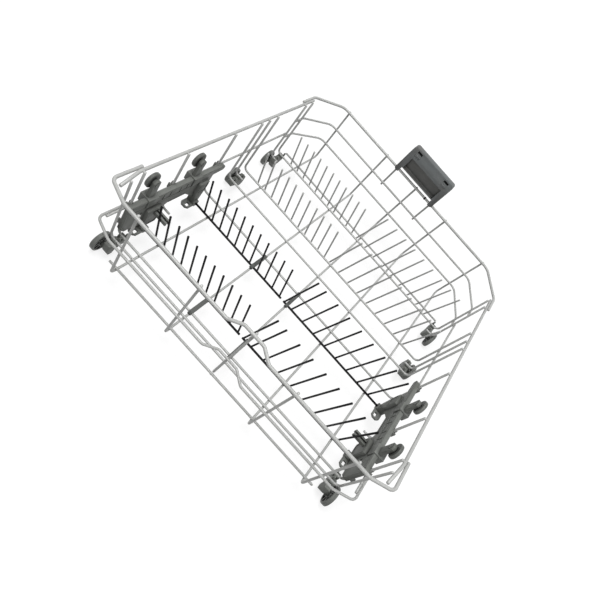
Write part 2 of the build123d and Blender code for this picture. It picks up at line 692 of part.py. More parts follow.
with BuildPart() as tine_carrier:
    extrude(side_profile(PLATE_X, plate_outline), amount=PLATE_THICK)
    top_corners = tine_carrier.edges().filter_by(Axis.X).group_by(Axis.Z)[-1]
    tip_corners = tine_carrier.edges().filter_by(Axis.X).group_by(Axis.Y)[0]
    fillet(top_corners + tip_corners, PLATE_CORNER)
    extrude(side_profile(PAD_X, pad_outline), amount=PAD_THICK)
    window = side_rectangle(PLATE_X, window_depths, window_rises)
    extrude(window, amount=PLATE_THICK, mode=Mode.SUBTRACT)
    extrude(side_profile(PAD_X, arm_pad_outline), amount=PAD_THICK)
    for rod_depth in (REAR_ROD_DEPTH, MIDDLE_ROD_DEPTH):
        extrude(side_octagon(RING_X, rod_depth, ROD_RISE, RING_RADIUS * 2), amount=ring_width)
        hoop_root = rod_depth - (ROD_WIRE / 2 + RING_RADIUS) / 2
        hoop_end = rod_depth - HOOP_REACH
        hoop_outline = [
            (RING_X, hoop_root),
            (RING_X, hoop_end + HOOP_CUT),
            (RING_X + HOOP_CUT, hoop_end),
            (PLATE_OUTER_X - HOOP_CUT, hoop_end),
            (PLATE_OUTER_X, hoop_end + HOOP_CUT),
            (PLATE_OUTER_X, hoop_root),
        ]
        extrude(level_profile(HOOP_LOW_RISE, hoop_outline), amount=HOOP_HEIGHT)
        hole_outline = [
            (RING_X + HOOP_WALL, hoop_end + HOOP_WALL),
            (RING_X + HOOP_WALL + HOOP_HOLE, hoop_end + HOOP_WALL),
            (RING_X + HOOP_WALL + HOOP_HOLE, hoop_end + HOOP_WALL + HOOP_HOLE_DEPTH),
            (RING_X + HOOP_WALL, hoop_end + HOOP_WALL + HOOP_HOLE_DEPTH),
        ]
        extrude(level_profile(HOOP_LOW_RISE, hole_outline), amount=HOOP_HEIGHT, mode=Mode.SUBTRACT)
        bore = side_disc(RING_X, rod_depth, ROD_RISE, ROD_WIRE / 2 + RUN_GAP)
        extrude(bore, amount=PLATE_X - RING_X, mode=Mode.SUBTRACT)
    for wire_depth, low_rise in lugs:
        for lug_depth in (wire_depth - wire_grip - LUG_WALL, wire_depth + wire_grip):
            lug_depths = (lug_depth, lug_depth + LUG_WALL)
            lug = side_rectangle(PLATE_OUTER_X, lug_depths, (low_rise, low_rise + LUG_HEIGHT))
            extrude(lug, amount=FRAME_WIRE / 2 + LUG_REACH)
    for catch_depth in (first_catch, first_catch + CATCH_PITCH):
        catch_depths = (catch_depth, catch_depth + CATCH_THICK)
        catch = side_rectangle(PLATE_X - CATCH_REACH, catch_depths, (CATCH_RISE, CATCH_RISE + CATCH_HEIGHT))
        extrude(catch, amount=CATCH_REACH)
    for axle_depth in upper_axles.values():
        saddle_depths = (axle_depth - SADDLE / 2, axle_depth + SADDLE / 2)
        extrude(side_rectangle(saddle_x, saddle_depths, saddle_rises), amount=saddle_width)
        post_outline = [
            (axle_depth - POST / 2, block_low),
            (axle_depth + POST / 2, block_low),
            (axle_depth + POST / 2, post_top - POST_CUT),
            (axle_depth + POST / 2 - POST_CUT, post_top),
            (axle_depth - POST / 2 + POST_CUT, post_top),
            (axle_depth - POST / 2, post_top - POST_CUT),
        ]
        extrude(side_profile(POST_X, post_outline), amount=POST_OUTER_X - POST_X)
        axle = stub_axle(POST_OUTER_X, UPPER_ROLLER_X, UPPER_ROLLER_WIDTH, axle_depth, UPPER_AXLE_RISE)
        for section, length in axle:
            extrude(section, amount=length)

save(tine_carrier.part, "tine_carrier_right")
save(mirrored(tine_carrier.part), "tine_carrier_left")


# Hinge clips that hold the tine rods to the floor


def hinge_clip(x, rod_depth, wire_depth):
    start_x = x - CLIP_WIDTH / 2
    ring = ROD_WIRE / 2 + RUN_GAP + CLIP_ROD_WALL
    hook = FRAME_WIRE / 2 + SNAP_GAP + CLIP_WIRE_WALL
    link_outline = [
        (rod_depth, ROD_RISE - ring),
        (rod_depth, ROD_RISE + CLIP_LINK_RISE),
        (wire_depth, hook),
        (wire_depth, -hook),
    ]
    snap_half = FRAME_WIRE * CLIP_SNAP_SHARE / 2
    slot_width = FRAME_WIRE + CLIP_SLOT_GAP * 2
    slot_depths = (min(rod_depth, wire_depth) - ring, max(rod_depth, wire_depth) + ring)
    with BuildPart() as clip:
        extrude(side_profile(start_x, link_outline), amount=CLIP_WIDTH)
        extrude(side_octagon(start_x, rod_depth, ROD_RISE, ring * 2), amount=CLIP_WIDTH)
        extrude(side_octagon(start_x, wire_depth, 0, hook * 2), amount=CLIP_WIDTH)
        bore = side_disc(start_x, rod_depth, ROD_RISE, ROD_WIRE / 2 + RUN_GAP)
        extrude(bore, amount=CLIP_WIDTH, mode=Mode.SUBTRACT)
        seat = side_octagon(start_x, wire_depth, 0, FRAME_WIRE + SNAP_GAP * 2)
        extrude(seat, amount=CLIP_WIDTH, mode=Mode.SUBTRACT)
        mouth = side_rectangle(start_x, (wire_depth - snap_half, wire_depth + snap_half), (-hook * 2, 0))
        extrude(mouth, amount=CLIP_WIDTH, mode=Mode.SUBTRACT)
        slot = side_rectangle(x - slot_width / 2, slot_depths, (-hook * 2, -FRAME_WIRE / 2 + CLIP_SLOT_GAP))
        extrude(slot, amount=slot_width, mode=Mode.SUBTRACT)
    return clip.part


clip_places = {
    "hinge_clip_right_rear": (LONG_WIRE_X, REAR_ROD_DEPTH, CARRIER_LOOP_DEPTH),
    "hinge_clip_right_middle": (LONG_WIRE_X, MIDDLE_ROD_DEPTH, HINGE_LOOP_DEPTH),
    "hinge_clip_centre_rear": (0, REAR_ROD_DEPTH, CARRIER_LOOP_DEPTH),
    "hinge_clip_centre_middle": (0, MIDDLE_ROD_DEPTH, HINGE_LOOP_DEPTH),
}
for clip_name, (clip_x, rod_depth, wire_depth) in clip_places.items():
    save(hinge_clip(clip_x, rod_depth, wire_depth), clip_name)


# Handle on the front rim
back_face = FRONT_RIM_DEPTH - HANDLE_BACK_REACH
front_face = FRONT_RIM_DEPTH + HANDLE_FRONT_REACH
handle_outline = [
    (back_face, HANDLE_LOW_RISE),
    (back_face, HANDLE_SHOULDER_RISE),
    (back_face + HANDLE_SLOPE, HANDLE_TOP_RISE),
    (front_face, HANDLE_TOP_RISE),
    (front_face, HANDLE_LOW_RISE),
]
stay_front = front_wall_depth(HANDLE_LOW_RISE) + FRAME_WIRE / 2 + SIDE_GAP
stay_grip = FRAME_WIRE / 2 + SIDE_GAP
snap_half = RIM_WIRE * CLIP_SNAP_SHARE / 2
handle_start = HANDLE_X - HANDLE_HALF
gap_half = HANDLE_HALF - HANDLE_CHEEK
vent_slope = HANDLE_SLOPE * (VENT_RISE - HANDLE_SHOULDER_RISE) / (HANDLE_TOP_RISE - HANDLE_SHOULDER_RISE)
bump_rise = VENT_RISE - VENT_BUMP_DROP
pocket_rises = (HANDLE_GAP_RISE + POCKET_LOW_EDGE, HANDLE_SHOULDER_RISE - POCKET_TOP_EDGE)

with BuildPart() as handle:
    extrude(side_profile(handle_start, handle_outline), amount=HANDLE_HALF * 2)
    fillet(handle.edges().filter_by(Axis.Y).group_by(Axis.Z)[-1], HANDLE_CORNER)
    fillet(handle.edges().filter_by(Axis.Y).group_by(Axis.Z)[0], HANDLE_LEG_CORNER)
    gap = side_rectangle(HANDLE_X - gap_half, (back_face, front_face), (HANDLE_LOW_RISE, HANDLE_GAP_RISE))
    extrude(gap, amount=gap_half * 2, mode=Mode.SUBTRACT)
    pocket = side_rectangle(HANDLE_X - POCKET_HALF, (back_face, back_face + POCKET_DEPTH), pocket_rises)
    extrude(pocket, amount=POCKET_HALF * 2, mode=Mode.SUBTRACT)
    rim_seat = side_octagon(handle_start, FRONT_RIM_DEPTH, RIM_RISE, RIM_WIRE + SNAP_GAP * 2)
    extrude(rim_seat, amount=HANDLE_HALF * 2, mode=Mode.SUBTRACT)
    snap_depths = (FRONT_RIM_DEPTH - snap_half, FRONT_RIM_DEPTH + snap_half)
    mouth = side_rectangle(handle_start, snap_depths, (HANDLE_LOW_RISE, RIM_RISE))
    extrude(mouth, amount=HANDLE_HALF * 2, mode=Mode.SUBTRACT)
    for stay_x in handle_stay_places:
        stay_rises = (HANDLE_LOW_RISE, RIM_RISE + SIDE_GAP)
        stay_slot = side_rectangle(stay_x - stay_grip, (FRONT_RIM_DEPTH, stay_front), stay_rises)
        extrude(stay_slot, amount=stay_grip * 2, mode=Mode.SUBTRACT)
    for vent_x in (HANDLE_X + VENT_OFFSET - VENT_WIDTH / 2, HANDLE_X - VENT_OFFSET - VENT_WIDTH / 2):
        vent_rises = (VENT_RISE - VENT_HEIGHT / 2, VENT_RISE + VENT_HEIGHT / 2)
        vent = side_rectangle(vent_x, (back_face, back_face + vent_slope + VENT_DEPTH), vent_rises)
        extrude(vent, amount=VENT_WIDTH, mode=Mode.SUBTRACT)
        bump_rises = (bump_rise - VENT_HEIGHT / 2, bump_rise + VENT_HEIGHT / 2)
        bump = side_rectangle(vent_x, (back_face + VENT_BUMP_REACH, back_face + HANDLE_SLOPE), bump_rises)
        extrude(bump, amount=VENT_WIDTH)

save(handle.part, "handle")
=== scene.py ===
import math

import bmesh
import bpy
from mathutils import Matrix, Vector


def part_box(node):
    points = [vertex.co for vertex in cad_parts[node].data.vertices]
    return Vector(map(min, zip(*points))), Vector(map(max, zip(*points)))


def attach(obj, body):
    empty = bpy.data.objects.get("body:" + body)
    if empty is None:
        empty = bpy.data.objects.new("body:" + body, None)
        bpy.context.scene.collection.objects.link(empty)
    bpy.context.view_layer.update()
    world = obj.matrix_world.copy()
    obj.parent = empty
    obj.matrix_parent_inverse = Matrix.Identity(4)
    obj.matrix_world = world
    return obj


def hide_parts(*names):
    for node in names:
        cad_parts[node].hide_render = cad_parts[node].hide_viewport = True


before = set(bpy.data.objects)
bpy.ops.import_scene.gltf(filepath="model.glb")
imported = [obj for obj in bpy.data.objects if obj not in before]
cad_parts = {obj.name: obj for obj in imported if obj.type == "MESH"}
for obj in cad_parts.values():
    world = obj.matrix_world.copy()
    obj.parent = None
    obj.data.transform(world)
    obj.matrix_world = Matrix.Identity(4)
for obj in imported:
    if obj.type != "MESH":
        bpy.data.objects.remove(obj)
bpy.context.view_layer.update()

MM = 0.001

# Sizes of the basket in millimetres, as in the part's source
FRAME_WIRE = 3.8
RIM_WIRE = 4.8
TINE_WIRE = 3.2
ROD_WIRE = 3.8
SIDE_X = 235.0
FLOOR_DEPTH = 541.0
FRONT_LEAN = 12.7
RIM_RISE = 127.0
SIDE_MID_RISE = 52.0
FRONT_MID_RISE = 80.5
FRONT_LOW_RISE = 40.0
WIRE_TOP_STAND = 1.5
LOOP_BEND = 9.0
LONG_BEND = 7.0
CORNER_BEND = 10.0
CHAMFER_START_BEND = 20.0
CHAMFER_BEND = 18.0
RECESS_BEND = 8.0
STAY_BEND = 7.0
RECESS_DEPTH = 13.0
RECESS_OUTER_X = 36.0
RECESS_INNER_X = 17.0
BACK_CORNER_X = 210.0
BACK_CORNER_DEPTH = 8.0
CHAMFER_X = 203.0
CHAMFER_DEPTH = 468.0
SIDE_RIM_BACK = 8.5
SIDE_RIM_TAIL = 46.0
SIDE_RIM_TAIL_INSET = 7.4
SIDE_RIM_FRONT = 458.0
BACK_LAP = 55.0
FRONT_LAP = 40.0
SIDE_MID_BACK = 17.0
SIDE_MID_FRONT = 434.0
FRONT_WIRE_LAP = 26.0
LONG_WIRE_X = 83.0
LONG_WIRE_OUTER_X = 190.0
REAR_LOOP_DEPTH = 37.0
REAR_LOOP_LEAN = -12.0
REAR_LOOP_INSET = 4.2
CARRIER_LOOP_DEPTH = 50.0
HINGE_LOOP_DEPTH = 229.0
MIDDLE_LOOP_DEPTH = 295.0
INNER_TINE_LOOP_DEPTH = 340.0
FRONT_TINE_LOOP_DEPTH = 449.0
CROSS_WIRE_BACK_DEPTH = 9.0
CROSS_WIRE_BACK_X = 204.0
CROSS_WIRE_FRONT_DEPTH = 466.0
CROSS_WIRE_FRONT_X = 224.0
REAR_STAY_DEPTH = 128.0
REAR_STAY_FOOT_RISE = 14.0
MIDDLE_STAY_DEPTH = 316.0
FRONT_STAY_DEPTH = 426.0
STAY_FOOT = 18.0
HANDLE_X = 6.5
HANDLE_BACK_REACH = 5.0
HANDLE_FRONT_REACH = 15.0
HANDLE_STAY_OFFSET = 46.5
HANDLE_STAY_LOW_RISE = 72.0
SHORT_COUNT = 11
SHORT_PITCH = 18.0
SHORT_FIRST_X = 19.5
SHORT_HEIGHT = 61.0
SHORT_LEAN = 14.0
TALL_COUNT = 9
TALL_PITCH = 25.1
TALL_FIRST_X = 6.0
TALL_HEIGHT = 83.0
TALL_LEAN = -9.5
FOLD_TALL_COUNT = 8
FOLD_TALL_PITCH = 26.4
FOLD_TALL_FIRST_X = -10.5
FOLD_TALL_INNER_X = 6.2
TINE_TAIL = 4.5
REAR_ROD_DEPTH = 85.0
MIDDLE_ROD_DEPTH = 193.0
ROD_RISE = 2.0
PLATE_X = 226.0
PLATE_BACK_DEPTH = 40.0
PLATE_TOP_RISE = 68.0
PAD_X = 221.0
PAD_BACK = 9.0
PAD_FRONT = 24.0
PAD_LOW_RISE = 10.0
PAD_TOP_RISE = 46.0
PAD_CUT = 8.0
ARM_PAD_BACK = 12.0
ARM_PAD_FRONT = 9.0
ARM_PAD_RISE = 28.0
ARM_PAD_TOP_RISE = 50.0
WAIST_RISE = 36.5
WAIST_BACK = 36.0
WAIST_FRONT = 35.0
POST_X = 229.5
UPPER_AXLE_RISE = 93.3
UPPER_AXLE_DEPTHS = (80.5, 170.5)
LOWER_ROLLER_RADIUS = 17.0
UPPER_ROLLER_RADIUS = 12.4

# Details of the rollers
LOWER_ROLLER_DISH = 2.0
UPPER_ROLLER_DISH = 0.3
ROLLER_BORE = 3.05
ROLLER_HUB = 6.6
ROLLER_BAND = 3.2
ROLLER_SLOPE = 0.7
TREAD_SOFT = 1.2
RIB_COUNT = 8
RIB_THICK = 1.2
RIB_SINK = 0.4

# Black buffer and pin beside the handle
BUFFER_X = -24.2
BUFFER_LENGTH = 4.0
BUFFER_WIDE = 6.6
PIN_X = -30.0
PIN_DEPTH = 523.5
PIN_RISE = 137.2
PIN_LENGTH = 3.2
PIN_WIDE = 2.8

# Places worked out from the sizes
RIM_OFFSET = (FRAME_WIRE + RIM_WIRE) / 2
SIDE_RIM_X = SIDE_X + RIM_OFFSET
LAP_RIM_X = SIDE_RIM_X + RIM_WIRE
SIDE_MID_X = SIDE_X + FRAME_WIRE
LAP_MID_X = SIDE_MID_X + FRAME_WIRE
TINE_OFFSET = (FRAME_WIRE + TINE_WIRE) / 2
ROD_TINE_OFFSET = (ROD_WIRE + TINE_WIRE) / 2
WIRE_TOP = RIM_RISE + WIRE_TOP_STAND
BACK_PLANE_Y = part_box("back_rim")[1].y / MM - RIM_OFFSET - RIM_WIRE / 2
FLOOR_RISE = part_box("cross_wire_back")[0].z / MM + FRAME_WIRE / 2

# How the wires, rollers and beads are drawn
WIRE_RING_SIDES = 14
TINE_RING_SIDES = 10
BEND_STEPS = 8
DOME_RINGS = 4
DOME_FLAT = 0.25
TIP_SWELL = 1.1
NECK_REACH = 3
ROLLER_SEGMENTS = 48
TREAD_STEPS = 5
BEAD_SEGMENTS = 8
BEAD_RINGS = 4
BEAD_WIDE = 1.75
BEAD_THIN = 1.0


def place(x, depth, rise):
    return Vector((x, BACK_PLANE_Y - depth, FLOOR_RISE + rise)) * MM


def front_wall_depth(rise):
    return FLOOR_DEPTH - FRONT_LEAN * (rise + FRAME_WIRE) / (RIM_RISE + FRAME_WIRE)


def front_seat_depth(rise, diameter):
    lean = math.atan(FRONT_LEAN / (RIM_RISE + FRAME_WIRE))
    return front_wall_depth(rise) - (FRAME_WIRE + diameter) / 2 / math.cos(lean)


FRONT_RIM_DEPTH = front_seat_depth(RIM_RISE, RIM_WIRE)
Z_TO_X = Matrix.Rotation(math.pi / 2, 4, "Y")


# Wiring of nodes


def feed(tree, socket, source):
    if isinstance(source, bpy.types.NodeSocket):
        tree.links.new(source, socket)
    else:
        socket.default_value = source


def calculated(tree, operation, first, second):
    node = tree.nodes.new("ShaderNodeMath")
    node.operation = operation
    feed(tree, node.inputs[0], first)
    feed(tree, node.inputs[1], second)
    return node.outputs["Value"]


def mapped(tree, value, start, end, low, high):
    span = tree.nodes.new("ShaderNodeMapRange")
    labels = ("Value", "From Min", "From Max", "To Min", "To Max")
    for label, source in zip(labels, (value, start, end, low, high)):
        feed(tree, span.inputs[label], source)
    return span.outputs["Result"]


# Finishes
NOISE_DETAIL = 3.0
NOISE_LOW = 0.3
NOISE_HIGH = 0.7
COAT_CLOUD_SCALE = 45.0
COAT_SHADES = (0.93, 1.05)
COAT_ROUGHNESS_SPREAD = (0.05, 0.07)
ORANGE_PEEL_SCALE = 900.0
ORANGE_PEEL_STRENGTH = 0.25
ORANGE_PEEL_HEIGHT = 0.0001
PLASTIC_GLOSS = 0.3
TINT_SCALE = 16.0
TINT_DETAIL = 1.0
TINT_STOPS = (0.4, 0.6)
PLASTIC_CLOUD_SCALE = 60.0
PLASTIC_SHADES = (0.88, 1.1)
PLASTIC_ROUGHNESS_SPREAD = (0.06, 0.08)
EDGE_STOPS = (0.52, 0.62)
# Painted shade: ambient occlusion darkens the plastics' base colour in creases, recesses and between parts
PAINTED_SHADE_SAMPLES = 8
PAINTED_SHADE_REACH = 7.0
PAINTED_SHADE_LEVEL = 0.12
PAINTED_SHADE_STOPS = (0.3, 0.95)
GRAIN_DETAIL = 2.0
GRAIN_HEIGHT = 0.0002

# The handle's pocket gets painted light, a lighter colour standing in for light reaching into the recess,
# between these shares of the handle's depth and below this rise
POCKET_STOPS = ((0.4, 0), (0.5, 1), (0.8, 1), (0.92, 0))
POCKET_TOP_RISE = 163.0
POCKET_FADE = 2


def grey(level):
    return (level, level, level)


def shade(colour, factor):
    return tuple(channel * factor for channel in colour)


def new_finish(name, gloss):
    finish = bpy.data.materials.new(name)
    finish.use_nodes = True
    tree = finish.node_tree
    looks = tree.nodes["Principled BSDF"].inputs
    looks["Specular IOR Level"].default_value = gloss
    coords = tree.nodes.new("ShaderNodeTexCoord")
    return finish, tree, looks, coords.outputs["Object"]


def noise_on(tree, spot, scale, detail=NOISE_DETAIL):
    noise = tree.nodes.new("ShaderNodeTexNoise")
    noise.inputs["Scale"].default_value = scale
    noise.inputs["Detail"].default_value = detail
    tree.links.new(spot, noise.inputs["Vector"])
    return noise.outputs["Fac"]


def ramp_between(tree, factor, low, high, start=NOISE_LOW, end=NOISE_HIGH):
    ramp = tree.nodes.new("ShaderNodeValToRGB")
    for stop, position, colour in zip(ramp.color_ramp.elements, (start, end), (low, high)):
        stop.position = position
        stop.color = (*colour, 1)
    tree.links.new(factor, ramp.inputs["Fac"])
    return ramp.outputs["Color"]


def roughness_around(tree, factor, roughness, spread):
    below, above = spread
    return mapped(tree, factor, NOISE_LOW, NOISE_HIGH, roughness - below, roughness + above)


def bump_from(tree, height, strength, distance):
    bump = tree.nodes.new("ShaderNodeBump")
    bump.inputs["Strength"].default_value = strength
    bump.inputs["Distance"].default_value = distance
    tree.links.new(height, bump.inputs["Height"])
    return bump.outputs["Normal"]


def blend(tree, mode, factor, first, second):
    mix = tree.nodes.new("ShaderNodeMix")
    mix.data_type = "RGBA"
    mix.blend_type = mode
    for label, source in (("Factor", factor), ("A", first), ("B", second)):
        feed(tree, mix.inputs[label], source)
    return mix.outputs["Result"]


def coated_wire_finish(name, colour, roughness, gloss):
    finish, tree, looks, spot = new_finish(name, gloss)
    clouding = noise_on(tree, spot, COAT_CLOUD_SCALE)
    shades = [shade(colour, factor) for factor in COAT_SHADES]
    tree.links.new(ramp_between(tree, clouding, *shades), looks["Base Color"])
    tree.links.new(roughness_around(tree, clouding, roughness, COAT_ROUGHNESS_SPREAD), looks["Roughness"])
    orange_peel = noise_on(tree, spot, ORANGE_PEEL_SCALE)
    tree.links.new(bump_from(tree, orange_peel, ORANGE_PEEL_STRENGTH, ORANGE_PEEL_HEIGHT), looks["Normal"])
    return finish


# Mask of the handle's pocket, where light is painted into the colour
def painted_pocket_light_share(tree, spot):
    parts = tree.nodes.new("ShaderNodeSeparateXYZ")
    tree.links.new(spot, parts.inputs["Vector"])
    back_y = place(0, FRONT_RIM_DEPTH - HANDLE_BACK_REACH, 0).y
    front_y = place(0, FRONT_RIM_DEPTH + HANDLE_FRONT_REACH, 0).y
    ramp = tree.nodes.new("ShaderNodeValToRGB")
    stops = ramp.color_ramp.elements
    for position, level in POCKET_STOPS[len(stops):]:
        stops.new(position)
    for stop, (position, level) in zip(stops, POCKET_STOPS):
        stop.position = position
        stop.color = (*grey(level), 1)
    tree.links.new(mapped(tree, parts.outputs["Y"], back_y, front_y, 0, 1), ramp.inputs["Fac"])
    low_z = place(0, 0, POCKET_TOP_RISE).z
    high_z = place(0, 0, POCKET_TOP_RISE + POCKET_FADE).z
    below = mapped(tree, parts.outputs["Z"], low_z, high_z, 1, 0)
    return blend(tree, "MULTIPLY", 1, ramp.outputs["Color"], below)


def moulded_finish(name, colour, tint, edge_colour, roughness, grain_scale, grain_strength, pocket_painted_light=None):
    finish, tree, looks, spot = new_finish(name, PLASTIC_GLOSS)
    hue = ramp_between(tree, noise_on(tree, spot, TINT_SCALE, TINT_DETAIL), colour, tint, *TINT_STOPS)
    clouding = noise_on(tree, spot, PLASTIC_CLOUD_SCALE)
    # Painted light: the pocket's colour is lifted lighter to stand in for light reaching into the recess
    if pocket_painted_light:
        hue = blend(tree, "MIX", painted_pocket_light_share(tree, spot), hue, (*shade(colour, pocket_painted_light), 1))
    mottling = ramp_between(tree, clouding, *(grey(level) for level in PLASTIC_SHADES))
    mottled = blend(tree, "MULTIPLY", 1, hue, mottling)
    geometry = tree.nodes.new("ShaderNodeNewGeometry")
    edge_share = ramp_between(tree, geometry.outputs["Pointiness"], grey(0), grey(1), *EDGE_STOPS)
    worn = blend(tree, "MIX", edge_share, mottled, (*edge_colour, 1))
    # Painted shade: the base colour is multiplied darker where ambient occlusion finds nearby geometry, in
    # creases and between parts
    hollow = tree.nodes.new("ShaderNodeAmbientOcclusion")
    hollow.samples = PAINTED_SHADE_SAMPLES
    hollow.inputs["Distance"].default_value = PAINTED_SHADE_REACH * MM
    painted_crevice_shade = ramp_between(tree, hollow.outputs["AO"], grey(PAINTED_SHADE_LEVEL), grey(1), *PAINTED_SHADE_STOPS)
    tree.links.new(blend(tree, "MULTIPLY", 1, worn, painted_crevice_shade), looks["Base Color"])
    tree.links.new(roughness_around(tree, clouding, roughness, PLASTIC_ROUGHNESS_SPREAD), looks["Roughness"])
    grain = noise_on(tree, spot, grain_scale, GRAIN_DETAIL)
    tree.links.new(bump_from(tree, grain, grain_strength, GRAIN_HEIGHT), looks["Normal"])
    return finish


grey_coat = coated_wire_finish("grey_coat", colour=(0.46, 0.465, 0.452), roughness=0.3, gloss=0.6)
black_coat = coated_wire_finish("black_coat", colour=(0.004, 0.004, 0.0045), roughness=0.4, gloss=0.15)
carrier_plastic = moulded_finish(
    "carrier_plastic",
    colour=(0.118, 0.124, 0.112),
    tint=(0.148, 0.154, 0.142),
    edge_colour=(0.19, 0.198, 0.185),
    roughness=0.5,
    grain_scale=700.0,
    grain_strength=0.35,
)
roller_plastic = moulded_finish(
    "roller_plastic",
    colour=(0.138, 0.144, 0.134),
    tint=(0.160, 0.166, 0.156),
    edge_colour=(0.2, 0.208, 0.196),
    roughness=0.42,
    grain_scale=500.0,
    grain_strength=0.2,
)
clip_plastic = moulded_finish(
    "clip_plastic",
    colour=(0.072, 0.076, 0.071),
    tint=(0.085, 0.089, 0.084),
    edge_colour=(0.12, 0.126, 0.119),
    roughness=0.5,
    grain_scale=700.0,
    grain_strength=0.3,
)
handle_plastic = moulded_finish(
    "handle_plastic",
    colour=(0.106, 0.106, 0.102),
    tint=(0.106, 0.115, 0.116),
    edge_colour=(0.165, 0.172, 0.174),
    roughness=0.4,
    grain_scale=600.0,
    grain_strength=0.22,
    # painted light in the pocket: its colour is lifted by this factor
    pocket_painted_light=2.5,
)


# Geometry Nodes trees


def new_tree(name, inputs):
    tree = bpy.data.node_groups.new(name, "GeometryNodeTree")
    tree.interface.new_socket("Geometry", in_out="INPUT", socket_type="NodeSocketGeometry")
    for label, kind in inputs:
        tree.interface.new_socket(label, in_out="INPUT", socket_type=kind)
    tree.interface.new_socket("Geometry", in_out="OUTPUT", socket_type="NodeSocketGeometry")
    return tree


def add_node(tree, kind, mode=None, **links):
    node = tree.nodes.new(kind)
    if mode:
        node.mode = mode
    for label, source in links.items():
        feed(tree, node.inputs[label.replace("_", " ")], source)
    return node


def attribute_in(tree, name, kind):
    node = tree.nodes.new("GeometryNodeInputNamedAttribute")
    node.data_type = kind
    node.inputs["Name"].default_value = name
    return node.outputs["Attribute"]


def end_tree(tree, geometry, material):
    realized = add_node(tree, "GeometryNodeRealizeInstances", Geometry=geometry)
    smooth = add_node(tree, "GeometryNodeSetShadeSmooth", Geometry=realized.outputs["Geometry"])
    painted = add_node(
        tree,
        "GeometryNodeSetMaterial",
        Geometry=smooth.outputs["Geometry"],
        Material=material,
    )
    add_node(tree, "NodeGroupOutput", Geometry=painted.outputs["Geometry"])


def tube_from_route(tree, curve, sides, radius):
    ring = add_node(tree, "GeometryNodeCurvePrimitiveCircle", Resolution=sides, Radius=radius)
    girth = attribute_in(tree, "girth", "FLOAT")
    tube = add_node(
        tree,
        "GeometryNodeCurveToMesh",
        Curve=curve,
        Profile_Curve=ring.outputs["Curve"],
        Scale=girth,
        Fill_Caps=True,
    )
    return tube.outputs["Mesh"]


def make_wire_tree():
    tree = new_tree(
        "bent_wire",
        [
            ("Wire Radius", "NodeSocketFloat"),
            ("Ring Sides", "NodeSocketInt"),
            ("Coating", "NodeSocketMaterial"),
        ],
    )
    given = tree.nodes.new("NodeGroupInput").outputs
    route = add_node(tree, "GeometryNodeMeshToCurve", Mesh=given["Geometry"])
    bends = add_node(
        tree,
        "GeometryNodeFilletCurve",
        "POLY",
        Curve=route.outputs["Curve"],
        Radius=attribute_in(tree, "bend", "FLOAT"),
        Count=attribute_in(tree, "steps", "INT"),
    )
    tube = tube_from_route(tree, bends.outputs["Curve"], given["Ring Sides"], given["Wire Radius"])
    end_tree(tree, tube, given["Coating"])
    return tree


def make_tine_tree():
    tree = new_tree(
        "tine_row",
        [
            ("Tine Radius", "NodeSocketFloat"),
            ("Ring Sides", "NodeSocketInt"),
            ("Count", "NodeSocketInt"),
            ("First Foot", "NodeSocketVector"),
            ("Pitch", "NodeSocketFloat"),
            ("Lean", "NodeSocketFloat"),
            ("Coating", "NodeSocketMaterial"),
        ],
    )
    given = tree.nodes.new("NodeGroupInput").outputs
    route = add_node(tree, "GeometryNodeMeshToCurve", Mesh=given["Geometry"])
    single = tube_from_route(tree, route.outputs["Curve"], given["Ring Sides"], given["Tine Radius"])
    step = add_node(tree, "ShaderNodeCombineXYZ", X=given["Pitch"])
    feet = add_node(
        tree,
        "GeometryNodeMeshLine",
        Count=given["Count"],
        Start_Location=given["First Foot"],
        Offset=step.outputs["Vector"],
    )
    tilt = add_node(tree, "ShaderNodeCombineXYZ", Y=given["Lean"])
    turn = add_node(tree, "FunctionNodeEulerToRotation", Euler=tilt.outputs["Vector"])
    row = add_node(
        tree,
        "GeometryNodeInstanceOnPoints",
        Points=feet.outputs["Mesh"],
        Instance=single,
        Rotation=turn.outputs["Rotation"],
    )
    end_tree(tree, row.outputs["Instances"], given["Coating"])
    return tree


def make_weld_tree():
    tree = new_tree("weld_beads", [("Bead Radius", "NodeSocketFloat"), ("Coating", "NodeSocketMaterial")])
    given = tree.nodes.new("NodeGroupInput").outputs
    bead = add_node(
        tree,
        "GeometryNodeMeshUVSphere",
        Segments=BEAD_SEGMENTS,
        Rings=BEAD_RINGS,
        Radius=given["Bead Radius"],
    )
    beads = add_node(
        tree,
        "GeometryNodeInstanceOnPoints",
        Points=given["Geometry"],
        Instance=bead.outputs["Mesh"],
        Scale=attribute_in(tree, "swell", "FLOAT_VECTOR"),
    )
    end_tree(tree, beads.outputs["Instances"], given["Coating"])
    return tree


def make_rib_tree():
    tree = new_tree(
        "roller_ribs",
        [
            ("Rib Count", "NodeSocketInt"),
            ("Ring Radius", "NodeSocketFloat"),
            ("Rib Size", "NodeSocketVector"),
            ("Plastic", "NodeSocketMaterial"),
        ],
    )
    given = tree.nodes.new("NodeGroupInput").outputs
    ring = add_node(tree, "GeometryNodeMeshCircle", Vertices=given["Rib Count"], Radius=given["Ring Radius"])
    rib = add_node(tree, "GeometryNodeMeshCube", Size=given["Rib Size"])
    index = tree.nodes.new("GeometryNodeInputIndex")
    share = calculated(tree, "DIVIDE", index.outputs["Index"], given["Rib Count"])
    spin = add_node(tree, "ShaderNodeCombineXYZ", Z=calculated(tree, "MULTIPLY", share, math.tau))
    turn = add_node(tree, "FunctionNodeEulerToRotation", Euler=spin.outputs["Vector"])
    ribs = add_node(
        tree,
        "GeometryNodeInstanceOnPoints",
        Points=ring.outputs["Mesh"],
        Instance=rib.outputs["Mesh"],
        Rotation=turn.outputs["Rotation"],
    )
    end_tree(tree, ribs.outputs["Instances"], given["Plastic"])
    return tree


wire_tree = make_wire_tree()
tine_tree = make_tine_tree()
weld_tree = make_weld_tree()
rib_tree = make_rib_tree()


